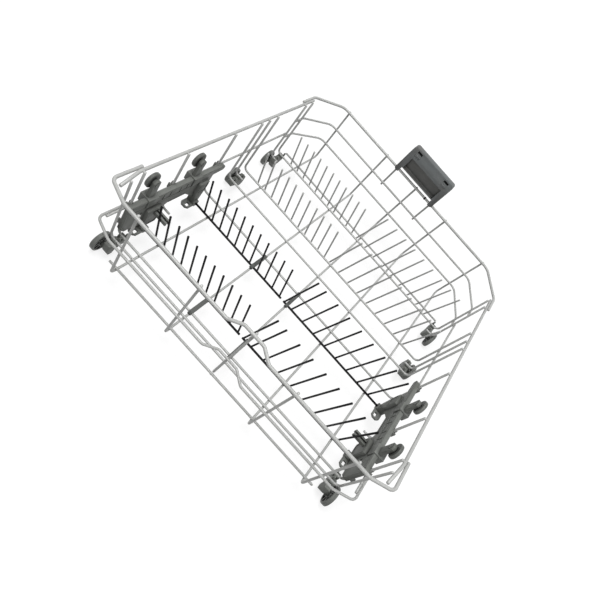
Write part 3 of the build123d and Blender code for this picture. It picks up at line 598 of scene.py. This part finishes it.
def mesh_from_tree(tree, route, values):
    carrier = bpy.data.objects.new("route", route)
    bpy.context.scene.collection.objects.link(carrier)
    modifier = carrier.modifiers.new("shape", "NODES")
    modifier.node_group = tree
    for item in tree.interface.items_tree:
        if item.in_out == "INPUT" and item.name in values:
            modifier[item.identifier] = values[item.name]
    evaluated = carrier.evaluated_get(bpy.context.evaluated_depsgraph_get())
    mesh = bpy.data.meshes.new_from_object(evaluated)
    bpy.data.objects.remove(carrier)
    return mesh


def route_mesh(points, bends, girths):
    mesh = bpy.data.meshes.new("route")
    mesh.from_pydata(points, [(i, i + 1) for i in range(len(points) - 1)], [])
    bend = mesh.attributes.new("bend", "FLOAT", "POINT")
    bend.data.foreach_set("value", bends)
    steps = mesh.attributes.new("steps", "INT", "POINT")
    steps.data.foreach_set("value", [BEND_STEPS if radius > 0 else 0 for radius in bends])
    girth = mesh.attributes.new("girth", "FLOAT", "POINT")
    girth.data.foreach_set("value", girths)
    return mesh


def domed_ends(start, end, radius):
    inward = (end - start).normalized()
    steps = [i / DOME_RINGS for i in range(DOME_RINGS)]
    points = [start + inward * radius * step * DOME_FLAT * 2 for step in steps]
    girths = [max(DOME_FLAT, math.sqrt(1 - (1 - step) ** 2)) for step in steps]
    return points, girths


def wire_route(points, bends, diameter):
    radius = diameter / 2 * MM
    head, head_girth = domed_ends(points[0], points[1], radius)
    tail, tail_girth = domed_ends(points[-1], points[-2], radius)
    inner = points[1:-1]
    return route_mesh(
        head + inner + tail[::-1],
        [0.0] * len(head) + [radius_mm * MM for radius_mm in bends] + [0.0] * len(tail),
        head_girth + [1.0] * len(inner) + tail_girth[::-1],
    )


def bent_wire(points, bends, diameter, coating):
    values = {"Wire Radius": diameter / 2 * MM, "Ring Sides": WIRE_RING_SIDES, "Coating": coating}
    return mesh_from_tree(wire_tree, wire_route(points, bends, diameter), values)


def tine_row(count, first_x, pitch, depth, rise, height, lean, coating):
    slope = math.radians(lean)
    radius = TINE_WIRE / 2 * MM
    foot = Vector((0, 0, -TINE_TAIL / math.cos(slope))) * MM
    tip = Vector((0, 0, (height - rise) / math.cos(slope))) * MM
    head, head_girth = domed_ends(foot, tip, radius)
    tail, tail_girth = domed_ends(tip, foot, radius)
    neck = tip + (foot - tip).normalized() * radius * NECK_REACH
    tail_girth = [girth * TIP_SWELL for girth in tail_girth]
    points = head + [neck] + tail[::-1]
    route = route_mesh(points, [0.0] * len(points), head_girth + [1.0] + tail_girth[::-1])
    values = {
        "Tine Radius": radius,
        "Ring Sides": TINE_RING_SIDES,
        "Count": count,
        "First Foot": place(first_x, depth, rise),
        "Pitch": pitch * MM,
        "Lean": slope,
        "Coating": coating,
    }
    return mesh_from_tree(tine_tree, route, values)


def weld_beads(spots, coating):
    mesh = bpy.data.meshes.new("spots")
    mesh.from_pydata([spot for spot, swell in spots], [], [])
    attribute = mesh.attributes.new("swell", "FLOAT_VECTOR", "POINT")
    attribute.data.foreach_set("vector", [value for spot, swell in spots for value in swell])
    return mesh_from_tree(weld_tree, mesh, {"Bead Radius": MM, "Coating": coating})


def joined(name, meshes):
    shape = bmesh.new()
    for mesh in meshes:
        shape.from_mesh(mesh)
    whole = bpy.data.meshes.new(name)
    shape.to_mesh(whole)
    shape.free()
    for material in meshes[0].materials:
        whole.materials.append(material)
    return whole


def add_piece(name, mesh, body, slot, *nodes):
    piece = bpy.data.objects.new(name, mesh)
    bpy.context.scene.collection.objects.link(piece)
    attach(piece, body)
    if nodes:
        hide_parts(*nodes)
    return piece


# Grey wires of the basket


def add_wire(node, points, bends, diameter):
    add_piece("coated_" + node, bent_wire(points, bends, diameter, grey_coat), "basket", "grey_wire", node)


def mirrored_route(half, rise):
    points = [place(x, depth, rise) for x, depth in half]
    return points + [place(-x, depth, rise) for x, depth in reversed(half)]


def recessed_back_route(corner_x, depth, rise):
    half = [
        (corner_x, BACK_LAP),
        (corner_x, BACK_CORNER_DEPTH),
        (BACK_CORNER_X, depth),
        (RECESS_OUTER_X, depth),
        (RECESS_INNER_X, depth + RECESS_DEPTH),
    ]
    return mirrored_route(half, rise)


def front_corner_route(side_x, front_depth, rise, lap):
    half = [(side_x, CHAMFER_DEPTH - lap), (side_x, CHAMFER_DEPTH), (CHAMFER_X, front_depth)]
    return mirrored_route(half, rise)


half_back_bends = [CORNER_BEND, CHAMFER_START_BEND, RECESS_BEND, RECESS_BEND]
back_bends = half_back_bends + half_back_bends[::-1]
add_wire("back_rim", recessed_back_route(LAP_RIM_X, -RIM_OFFSET, RIM_RISE), back_bends, RIM_WIRE)
add_wire("back_low_wire", recessed_back_route(LAP_MID_X, -FRAME_WIRE, SIDE_MID_RISE), back_bends, FRAME_WIRE)

front_rim_route = front_corner_route(LAP_RIM_X, FRONT_RIM_DEPTH, RIM_RISE, FRONT_LAP)
front_bends = [CHAMFER_BEND] * (len(front_rim_route) - 2)
add_wire("front_rim", front_rim_route, front_bends, RIM_WIRE)
for node, rise in (("front_mid_wire", FRONT_MID_RISE), ("front_low_wire", FRONT_LOW_RISE)):
    seat = front_seat_depth(rise, FRAME_WIRE)
    add_wire(node, front_corner_route(SIDE_MID_X, seat, rise, FRONT_WIRE_LAP), front_bends, FRAME_WIRE)

stays = {
    "rear": (REAR_STAY_DEPTH, REAR_STAY_FOOT_RISE),
    "middle": (MIDDLE_STAY_DEPTH, 0),
    "front": (FRONT_STAY_DEPTH, 0),
}
for side_name, side in (("right", 1), ("left", -1)):
    rim_route = [
        place(side * SIDE_RIM_X, SIDE_RIM_FRONT, RIM_RISE),
        place(side * SIDE_RIM_X, SIDE_RIM_TAIL, RIM_RISE),
        place(side * (SIDE_RIM_X - SIDE_RIM_TAIL_INSET), SIDE_RIM_BACK, RIM_RISE),
    ]
    add_wire(f"side_rim_{side_name}", rim_route, [CHAMFER_START_BEND], RIM_WIRE)
    mid_route = [place(side * SIDE_MID_X, depth, SIDE_MID_RISE) for depth in (SIDE_MID_BACK, SIDE_MID_FRONT)]
    add_wire(f"side_mid_wire_{side_name}", mid_route, [], FRAME_WIRE)
    for stay_name, (depth, foot_rise) in stays.items():
        stay_route = [
            place(side * SIDE_X, depth, WIRE_TOP),
            place(side * SIDE_X, depth, foot_rise),
            place(side * (SIDE_X - STAY_FOOT), depth, foot_rise),
        ]
        add_wire(f"side_stay_{side_name}_{stay_name}", stay_route, [STAY_BEND], FRAME_WIRE)

loops = {
    "rear": (REAR_LOOP_DEPTH, REAR_LOOP_LEAN, REAR_LOOP_INSET),
    "carrier": (CARRIER_LOOP_DEPTH, 0, 0),
    "hinge": (HINGE_LOOP_DEPTH, 0, 0),
    "middle": (MIDDLE_LOOP_DEPTH, 0, 0),
    "inner_tines": (INNER_TINE_LOOP_DEPTH, 0, 0),
    "front_tines": (FRONT_TINE_LOOP_DEPTH, 0, 0),
}
for loop_name, (depth, lean, inset) in loops.items():
    loop_route = [
        place(SIDE_X - inset, depth + lean, WIRE_TOP),
        place(SIDE_X, depth, 0),
        place(-SIDE_X, depth, 0),
        place(inset - SIDE_X, depth + lean, WIRE_TOP),
    ]
    add_wire(f"loop_wire_{loop_name}", loop_route, [LOOP_BEND] * 2, FRAME_WIRE)

cross_wires = {
    "back": (CROSS_WIRE_BACK_X, CROSS_WIRE_BACK_DEPTH),
    "front": (CROSS_WIRE_FRONT_X, CROSS_WIRE_FRONT_DEPTH),
}
for cross_name, (half_x, depth) in cross_wires.items():
    add_wire(f"cross_wire_{cross_name}", [place(-half_x, depth, 0), place(half_x, depth, 0)], [], FRAME_WIRE)

long_wires = {
    "right_outer": (LONG_WIRE_OUTER_X, 0),
    "right": (LONG_WIRE_X, 0),
    "centre": (0, RECESS_DEPTH),
    "left": (-LONG_WIRE_X, 0),
    "left_outer": (-LONG_WIRE_OUTER_X, 0),
}
for long_name, (x, back_depth) in long_wires.items():
    long_route = [
        place(x, back_depth, WIRE_TOP),
        place(x, back_depth, -FRAME_WIRE),
        place(x, FLOOR_DEPTH, -FRAME_WIRE),
        place(x, front_wall_depth(WIRE_TOP), WIRE_TOP),
    ]
    add_wire(f"long_wire_{long_name}", long_route, [LONG_BEND] * 2, FRAME_WIRE)

handle_stays = []
for x in (HANDLE_X + HANDLE_STAY_OFFSET, HANDLE_X - HANDLE_STAY_OFFSET):
    stay_route = [place(x, front_wall_depth(rise), rise) for rise in (HANDLE_STAY_LOW_RISE, RIM_RISE)]
    handle_stays.append(bent_wire(stay_route, [], FRAME_WIRE, grey_coat))
add_piece("coated_handle_stays", joined("handle_stays", handle_stays), "basket", "grey_wire", "handle_stays")

buffer_route = [place(BUFFER_X + end * BUFFER_LENGTH / 2, FRONT_RIM_DEPTH, RIM_RISE) for end in (-1, 1)]
pin_route = [place(PIN_X + end * PIN_LENGTH / 2, PIN_DEPTH, PIN_RISE) for end in (-1, 1)]
buffers = [
    bent_wire(buffer_route, [], BUFFER_WIDE, black_coat),
    bent_wire(pin_route, [], PIN_WIDE, black_coat),
]
add_piece("handle_buffers", joined("handle_buffers", buffers), "basket", "black_wire")


# Tines


def bead_x(x, depth, rise):
    return place(x, depth, rise), (BEAD_THIN, BEAD_WIDE, BEAD_WIDE)


def bead_y(x, depth, rise):
    return place(x, depth, rise), (BEAD_WIDE, BEAD_THIN, BEAD_WIDE)


def bead_z(x, depth, rise):
    return place(x, depth, rise), (BEAD_WIDE, BEAD_WIDE, BEAD_THIN)


short_feet = [SHORT_FIRST_X + SHORT_PITCH * i for i in range(SHORT_COUNT)]
tall_feet = [TALL_FIRST_X - TALL_PITCH * i for i in range(TALL_COUNT)]
fold_tall_feet = [FOLD_TALL_INNER_X]
fold_tall_feet += [FOLD_TALL_FIRST_X - FOLD_TALL_PITCH * i for i in range(FOLD_TALL_COUNT)]


def short_tines(depth, rise, coating):
    return tine_row(SHORT_COUNT, SHORT_FIRST_X, SHORT_PITCH, depth, rise, SHORT_HEIGHT, SHORT_LEAN, coating)


for row_name, loop_depth in (("inner", INNER_TINE_LOOP_DEPTH), ("front", FRONT_TINE_LOOP_DEPTH)):
    depth = loop_depth + TINE_OFFSET
    tall = tine_row(TALL_COUNT, TALL_FIRST_X, -TALL_PITCH, depth, 0, TALL_HEIGHT, TALL_LEAN, grey_coat)
    row = joined(f"grey_tines_{row_name}", [short_tines(depth, 0, grey_coat), tall])
    add_piece(f"grey_tines_{row_name}", row, "basket", "grey_wire", f"fixed_tines_{row_name}")

for row_name, rod_depth in (("rear", REAR_ROD_DEPTH), ("middle", MIDDLE_ROD_DEPTH)):
    depth = rod_depth + ROD_TINE_OFFSET
    for side_name in ("right", "left"):
        node = f"folding_tines_{side_name}_{row_name}"
        low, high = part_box(node)
        if side_name == "right":
            rows = [short_tines(depth, ROD_RISE, black_coat)]
        else:
            rows = [
                tine_row(1, FOLD_TALL_INNER_X, 0, depth, ROD_RISE, TALL_HEIGHT, TALL_LEAN, black_coat),
                tine_row(
                    FOLD_TALL_COUNT,
                    FOLD_TALL_FIRST_X,
                    -FOLD_TALL_PITCH,
                    depth,
                    ROD_RISE,
                    TALL_HEIGHT,
                    TALL_LEAN,
                    black_coat,
                ),
            ]
        rod_route = [place(x / MM, rod_depth, ROD_RISE) for x in (low.x, high.x)]
        rod = bent_wire(rod_route, [], ROD_WIRE, black_coat)
        feet = short_feet if side_name == "right" else fold_tall_feet
        beads = weld_beads([bead_y(x, rod_depth + ROD_WIRE / 2, ROD_RISE) for x in feet], black_coat)
        section = joined(f"black_tines_{side_name}_{row_name}", [rod, beads] + rows)
        add_piece(section.name, section, node, "black_wire", node)


# Coating that fills the corners where wires cross


def floor_beads():
    rows = [depth for depth, lean, inset in loops.values()]
    rows += [depth for half_x, depth in cross_wires.values()]
    places = [(x, depth) for x, back_depth in long_wires.values() for depth in rows]
    return [bead_z(x, depth, -FRAME_WIRE / 2) for x, depth in places]


def tine_beads():
    depths = [depth + FRAME_WIRE / 2 for depth in (INNER_TINE_LOOP_DEPTH, FRONT_TINE_LOOP_DEPTH)]
    return [bead_y(x, depth, 0) for x in short_feet + tall_feet for depth in depths]


def side_wall_beads():
    uprights = [depth for depth, lean, inset in loops.values() if not lean]
    uprights += [depth for depth, foot_rise in stays.values()]
    crossings = [(depth, RIM_RISE) for depth in uprights]
    crossings += [(depth, SIDE_MID_RISE) for depth in uprights if depth < SIDE_MID_FRONT]
    crossings += [(FRONT_TINE_LOOP_DEPTH, rise) for rise in (FRONT_MID_RISE, FRONT_LOW_RISE)]
    wall_x = SIDE_X + FRAME_WIRE / 2
    return [bead_x(side * wall_x, depth, rise) for side in (1, -1) for depth, rise in crossings]


def end_wall_beads():
    back = [(x, depth - FRAME_WIRE / 2) for x, depth in long_wires.values()]
    beads = [bead_y(x, depth, rise) for x, depth in back for rise in (RIM_RISE, SIDE_MID_RISE)]
    for rise in (RIM_RISE, FRONT_MID_RISE, FRONT_LOW_RISE):
        depth = front_wall_depth(rise) - FRAME_WIRE / 2
        beads += [bead_y(x, depth, rise) for x, back_depth in long_wires.values()]
        if rise > HANDLE_STAY_LOW_RISE:
            beads += [bead_y(HANDLE_X + side * HANDLE_STAY_OFFSET, depth, rise) for side in (1, -1)]
    return beads


grey_beads = floor_beads() + tine_beads() + side_wall_beads() + end_wall_beads()
add_piece("coating_beads", weld_beads(grey_beads, grey_coat), "basket", "grey_wire")


# Rollers
ROLLER_SHARP_ANGLE = math.radians(35)


def roller_profile(radius, width, dish):
    half = width / 2
    band = radius - ROLLER_BAND
    face = [
        (ROLLER_BORE, half),
        (ROLLER_HUB, half),
        (ROLLER_HUB + ROLLER_SLOPE, half - dish),
        (band - ROLLER_SLOPE, half - dish),
        (band, half),
    ]
    for i in range(TREAD_STEPS + 1):
        turn = math.pi / 2 * i / TREAD_STEPS
        face.append((radius - TREAD_SOFT * (1 - math.sin(turn)), half - TREAD_SOFT * (1 - math.cos(turn))))
    return face + [(r, -t) for r, t in reversed(face)]


def turned_mesh(profile, centre):
    count = len(profile)
    points = []
    for k in range(ROLLER_SEGMENTS):
        angle = math.tau * k / ROLLER_SEGMENTS
        points += [centre + Vector((t, r * math.cos(angle), r * math.sin(angle))) * MM for r, t in profile]
    faces = []
    for k in range(ROLLER_SEGMENTS):
        here = k * count
        beyond = (k + 1) % ROLLER_SEGMENTS * count
        for i in range(count):
            j = (i + 1) % count
            faces.append((here + i, here + j, beyond + j, beyond + i))
    mesh = bpy.data.meshes.new("turned")
    mesh.from_pydata(points, [], faces)
    mesh.materials.append(roller_plastic)
    return mesh


def roller_ribs(centre, radius, half):
    inner = ROLLER_HUB - RIB_SINK
    outer = radius - ROLLER_BAND + RIB_SINK
    values = {
        "Rib Count": RIB_COUNT,
        "Ring Radius": (inner + outer) / 2 * MM,
        "Rib Size": Vector((outer - inner, RIB_THICK, half * 2 - RIB_SINK * 2)) * MM,
        "Plastic": roller_plastic,
    }
    mesh = mesh_from_tree(rib_tree, bpy.data.meshes.new("ribs"), values)
    mesh.transform(Matrix.Translation(centre) @ Z_TO_X)
    return mesh


def add_roller(node, radius, dish):
    low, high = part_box(node)
    centre = (low + high) / 2
    width = (high.x - low.x) / MM
    wheel = turned_mesh(roller_profile(radius, width, dish), centre)
    mesh = joined("turned_" + node, [wheel, roller_ribs(centre, radius, width / 2)])
    shape = bmesh.new()
    shape.from_mesh(mesh)
    bmesh.ops.recalc_face_normals(shape, faces=shape.faces)
    shape.to_mesh(mesh)
    shape.free()
    mesh.shade_smooth()
    mesh.set_sharp_from_angle(angle=ROLLER_SHARP_ANGLE)
    add_piece("turned_" + node, mesh, node, "roller_plastic", node)


for node in sorted(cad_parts):
    if node.startswith("lower_roller"):
        add_roller(node, LOWER_ROLLER_RADIUS, LOWER_ROLLER_DISH)
    elif node.startswith("upper_roller"):
        add_roller(node, UPPER_ROLLER_RADIUS, UPPER_ROLLER_DISH)


# Moulded pieces with softened edges, on the shapes of the solids
SAME_POINT = 0.002
FLAT_ANGLE = math.radians(1)
EDGE_ANGLE = math.radians(25)
MOULD_SHARP_ANGLE = math.radians(30)
ROUND_PROFILE = 0.5
CARRIER_EDGE = 0.45
BRACKET_EDGE = 0.5
CLIP_EDGE = 0.35
HANDLE_EDGE = 0.9
EDGE_STEPS = 2
HANDLE_EDGE_STEPS = 3


def moulded_copy(node, width, segments):
    shape = bmesh.new()
    shape.from_mesh(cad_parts[node].data)
    bmesh.ops.remove_doubles(shape, verts=shape.verts, dist=SAME_POINT * MM)
    bmesh.ops.dissolve_limit(
        shape, angle_limit=FLAT_ANGLE, verts=shape.verts, edges=shape.edges, delimit={"NORMAL"}
    )
    sharp = [edge for edge in shape.edges if edge.is_manifold and edge.calc_face_angle() > EDGE_ANGLE]
    bmesh.ops.bevel(
        shape,
        geom=sharp,
        offset=width * MM,
        offset_type="OFFSET",
        segments=segments,
        profile=ROUND_PROFILE,
        affect="EDGES",
        clamp_overlap=True,
    )
    mesh = bpy.data.meshes.new("moulded_" + node)
    shape.to_mesh(mesh)
    shape.free()
    mesh.shade_smooth()
    mesh.set_sharp_from_angle(angle=MOULD_SHARP_ANGLE)
    return mesh


def add_moulded(node, body, slot, material, width, segments=EDGE_STEPS):
    mesh = moulded_copy(node, width, segments)
    mesh.materials.clear()
    mesh.materials.append(material)
    return add_piece("moulded_" + node, mesh, body, slot, node)


for node in sorted(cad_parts):
    if node.startswith("tine_carrier"):
        add_moulded(node, "basket", "carrier_plastic", carrier_plastic, CARRIER_EDGE)
    elif node.startswith("roller_bracket"):
        add_moulded(node, "basket", "carrier_plastic", carrier_plastic, BRACKET_EDGE)
    elif node.startswith("hinge_clip"):
        add_moulded(node, "basket", "clip_plastic", clip_plastic, CLIP_EDGE)
    elif node == "handle":
        add_moulded(node, "basket", "handle_plastic", handle_plastic, HANDLE_EDGE, HANDLE_EDGE_STEPS)


# Raised ribs on the inner faces of the carriers
CARRIER_RIB = 1.8
CARRIER_RIB_BEND = 1.5
PLATE_RIB_INSET = 2.0
PLATE_RIB_END = 6.0
PLATE_MID_RIB_RISE = 52.0
PLATE_CROSS_RIB_DEPTHS = (104.0, 118.0, 138.0, 152.0)
AXLE_BOSS_RADIUS = 4.2
AXLE_BOSS_SEGMENTS = 20

plate_back = PLATE_BACK_DEPTH + PLATE_RIB_END
plate_top = PLATE_TOP_RISE - PLATE_RIB_INSET
waist = WAIST_RISE + PLATE_RIB_INSET
pad_back = REAR_ROD_DEPTH - PAD_BACK + PLATE_RIB_INSET
pad_front = REAR_ROD_DEPTH + PAD_FRONT - PLATE_RIB_INSET
pad_low = PAD_LOW_RISE + PLATE_RIB_INSET
pad_top = PAD_TOP_RISE - PLATE_RIB_INSET
arm_back = MIDDLE_ROD_DEPTH - ARM_PAD_BACK + PLATE_RIB_INSET
arm_front = MIDDLE_ROD_DEPTH + ARM_PAD_FRONT - PLATE_RIB_INSET
arm_low = ARM_PAD_RISE + PLATE_RIB_INSET
arm_top = ARM_PAD_TOP_RISE - PLATE_RIB_INSET
plate_ribs = [
    [(plate_back, plate_top), (MIDDLE_ROD_DEPTH + ARM_PAD_FRONT * 2, plate_top)],
    [(plate_back, PLATE_MID_RIB_RISE), (MIDDLE_ROD_DEPTH + ARM_PAD_FRONT, PLATE_MID_RIB_RISE)],
    [(REAR_ROD_DEPTH + WAIST_BACK, waist), (MIDDLE_ROD_DEPTH - WAIST_FRONT, waist)],
]
plate_ribs += [[(depth, PLATE_MID_RIB_RISE), (depth, plate_top)] for depth in PLATE_CROSS_RIB_DEPTHS]
pad_ribs = [
    [
        (pad_back, pad_low + PAD_CUT),
        (pad_back + PAD_CUT, pad_low),
        (pad_front - PAD_CUT, pad_low),
        (pad_front, pad_low + PAD_CUT * 2),
        (pad_front, pad_top - PAD_CUT),
        (pad_front - PAD_CUT, pad_top),
        (pad_back, pad_top),
        (pad_back, pad_low + PAD_CUT),
    ],
    [
        (arm_back, arm_low),
        (arm_front, arm_low),
        (arm_front, arm_top),
        (arm_back, arm_top),
        (arm_back, arm_low),
    ],
]


def axle_boss(x, depth):
    shape = bmesh.new()
    bmesh.ops.create_cone(
        shape,
        cap_ends=True,
        segments=AXLE_BOSS_SEGMENTS,
        radius1=AXLE_BOSS_RADIUS * MM,
        radius2=AXLE_BOSS_RADIUS * MM,
        depth=CARRIER_RIB * MM,
        matrix=Matrix.Translation(place(x, depth, UPPER_AXLE_RISE)) @ Z_TO_X,
    )
    mesh = bpy.data.meshes.new("boss")
    shape.to_mesh(mesh)
    shape.free()
    return mesh


for side_name, side in (("right", 1), ("left", -1)):
    ribs = []
    for face_x, routes in ((PLATE_X, plate_ribs), (PAD_X, pad_ribs)):
        for route in routes:
            points = [place(side * face_x, depth, rise) for depth, rise in route]
            bends = [CARRIER_RIB_BEND] * (len(points) - 2)
            ribs.append(bent_wire(points, bends, CARRIER_RIB, carrier_plastic))
    ribs += [axle_boss(side * POST_X, depth) for depth in UPPER_AXLE_DEPTHS]
    mesh = joined("carrier_ribs_" + side_name, ribs)
    add_piece("carrier_ribs_" + side_name, mesh, "basket", "carrier_plastic")


# Floor, light and camera
FLOOR_COLOUR = 0.9
FLOOR_BOUNCE = 0.35
FLOOR_GLOW_SHARE = 0.72
FLOOR_NEAR = 0.45
FLOOR_FAR = 1.2
BACKDROP_WHITE = 1.12
WORLD_FILL = 0.18
FLOOR_HALF = 40.0
SENSOR_WIDTH = 36


def seen_directly(tree):
    path = tree.nodes.new("ShaderNodeLightPath")
    seen = path.outputs["Is Camera Ray"]
    for ray in ("Is Glossy Ray", "Is Transmission Ray"):
        seen = calculated(tree, "MAXIMUM", seen, path.outputs[ray])
    return seen


def share_when_seen(tree, hidden, shown):
    return mapped(tree, seen_directly(tree), 0, 1, hidden, shown)


def share_by_distance(tree):
    coords = tree.nodes.new("ShaderNodeTexCoord")
    away = tree.nodes.new("ShaderNodeVectorMath")
    away.operation = "LENGTH"
    tree.links.new(coords.outputs["Object"], away.inputs[0])
    return mapped(tree, away.outputs["Value"], FLOOR_NEAR, FLOOR_FAR, FLOOR_GLOW_SHARE, 1)


def mixed(tree, share, first, second):
    mix = tree.nodes.new("ShaderNodeMixShader")
    for socket, source in zip(mix.inputs, (share, first, second)):
        tree.links.new(source, socket)
    return mix.outputs["Shader"]


def add_floor():
    mesh = bpy.data.meshes.new("floor")
    corners = [(x * FLOOR_HALF, y * FLOOR_HALF, 0) for x, y in ((-1, -1), (1, -1), (1, 1), (-1, 1))]
    mesh.from_pydata(corners, [], [tuple(range(len(corners)))])
    floor = bpy.data.objects.new("floor", mesh)
    bpy.context.scene.collection.objects.link(floor)
    white = bpy.data.materials.new("pale_floor")
    white.use_nodes = True
    tree = white.node_tree
    paper = tree.nodes.new("ShaderNodeBsdfDiffuse")
    tree.links.new(share_when_seen(tree, FLOOR_BOUNCE, FLOOR_COLOUR), paper.inputs["Color"])
    glow = tree.nodes.new("ShaderNodeEmission")
    glow.inputs["Strength"].default_value = BACKDROP_WHITE
    glow_share = share_when_seen(tree, 0, share_by_distance(tree))
    upper_side = mixed(tree, glow_share, paper.outputs["BSDF"], glow.outputs["Emission"])
    geometry = tree.nodes.new("ShaderNodeNewGeometry")
    clear = tree.nodes.new("ShaderNodeBsdfTransparent")
    one_sided = mixed(tree, geometry.outputs["Backfacing"], upper_side, clear.outputs["BSDF"])
    tree.links.new(one_sided, tree.nodes["Material Output"].inputs["Surface"])
    tree.nodes.remove(tree.nodes["Principled BSDF"])
    mesh.materials.append(white)


def add_world():
    world = bpy.data.worlds.new("studio")
    bpy.context.scene.world = world
    world.use_nodes = True
    tree = world.node_tree
    background = tree.nodes["Background"]
    background.inputs["Color"].default_value = (1, 1, 1, 1)
    tree.links.new(share_when_seen(tree, WORLD_FILL, BACKDROP_WHITE), background.inputs["Strength"])


def add_lamp(name, location, target, size, power):
    lamp = bpy.data.lights.new(name, "AREA")
    lamp.shape = "SQUARE"
    lamp.size = size
    lamp.energy = power
    holder = bpy.data.objects.new(name, lamp)
    bpy.context.scene.collection.objects.link(holder)
    holder.location = location
    holder.rotation_mode = "QUATERNION"
    holder.rotation_quaternion = (Vector(target) - Vector(location)).to_track_quat("-Z", "Y")


def add_camera(pitch, yaw, roll, location, lens):
    pitch_cos, pitch_sin = math.cos(pitch), math.sin(pitch)
    forward = Vector((0, -pitch_cos, -pitch_sin))
    right = Vector((-1, 0, 0))
    level = Matrix((right, forward.cross(right), forward))
    turned = Matrix.Rotation(roll, 3, "Z") @ level @ Matrix.Rotation(yaw, 3, "Z")
    right, down, forward = turned
    data = bpy.data.cameras.new("camera")
    data.sensor_width = SENSOR_WIDTH
    data.lens = lens
    camera = bpy.data.objects.new("camera", data)
    bpy.context.scene.collection.objects.link(camera)
    axes = Matrix((right, -down, -forward)).transposed()
    camera.matrix_world = Matrix.Translation(location) @ axes.to_4x4()
    bpy.context.scene.camera = camera


add_floor()
add_world()
add_lamp("key", location=(0.4, 0.3, 2.5), target=(0, 0, 0.05), size=1.6, power=54)
add_lamp("fill", location=(-1.6, 0.6, 1.8), target=(0, 0, 0.05), size=1.4, power=8)
add_lamp("front", location=(0.0, 1.5, 1.2), target=(0, -0.1, 0.1), size=0.8, power=3)
add_camera(
    pitch=math.radians(45.974),
    yaw=math.radians(1.464),
    roll=math.radians(49.233),
    location=place(x=6, depth=-339, rise=583),
    lens=29.476,
)
bpy.context.scene.view_settings.view_transform = "Standard"
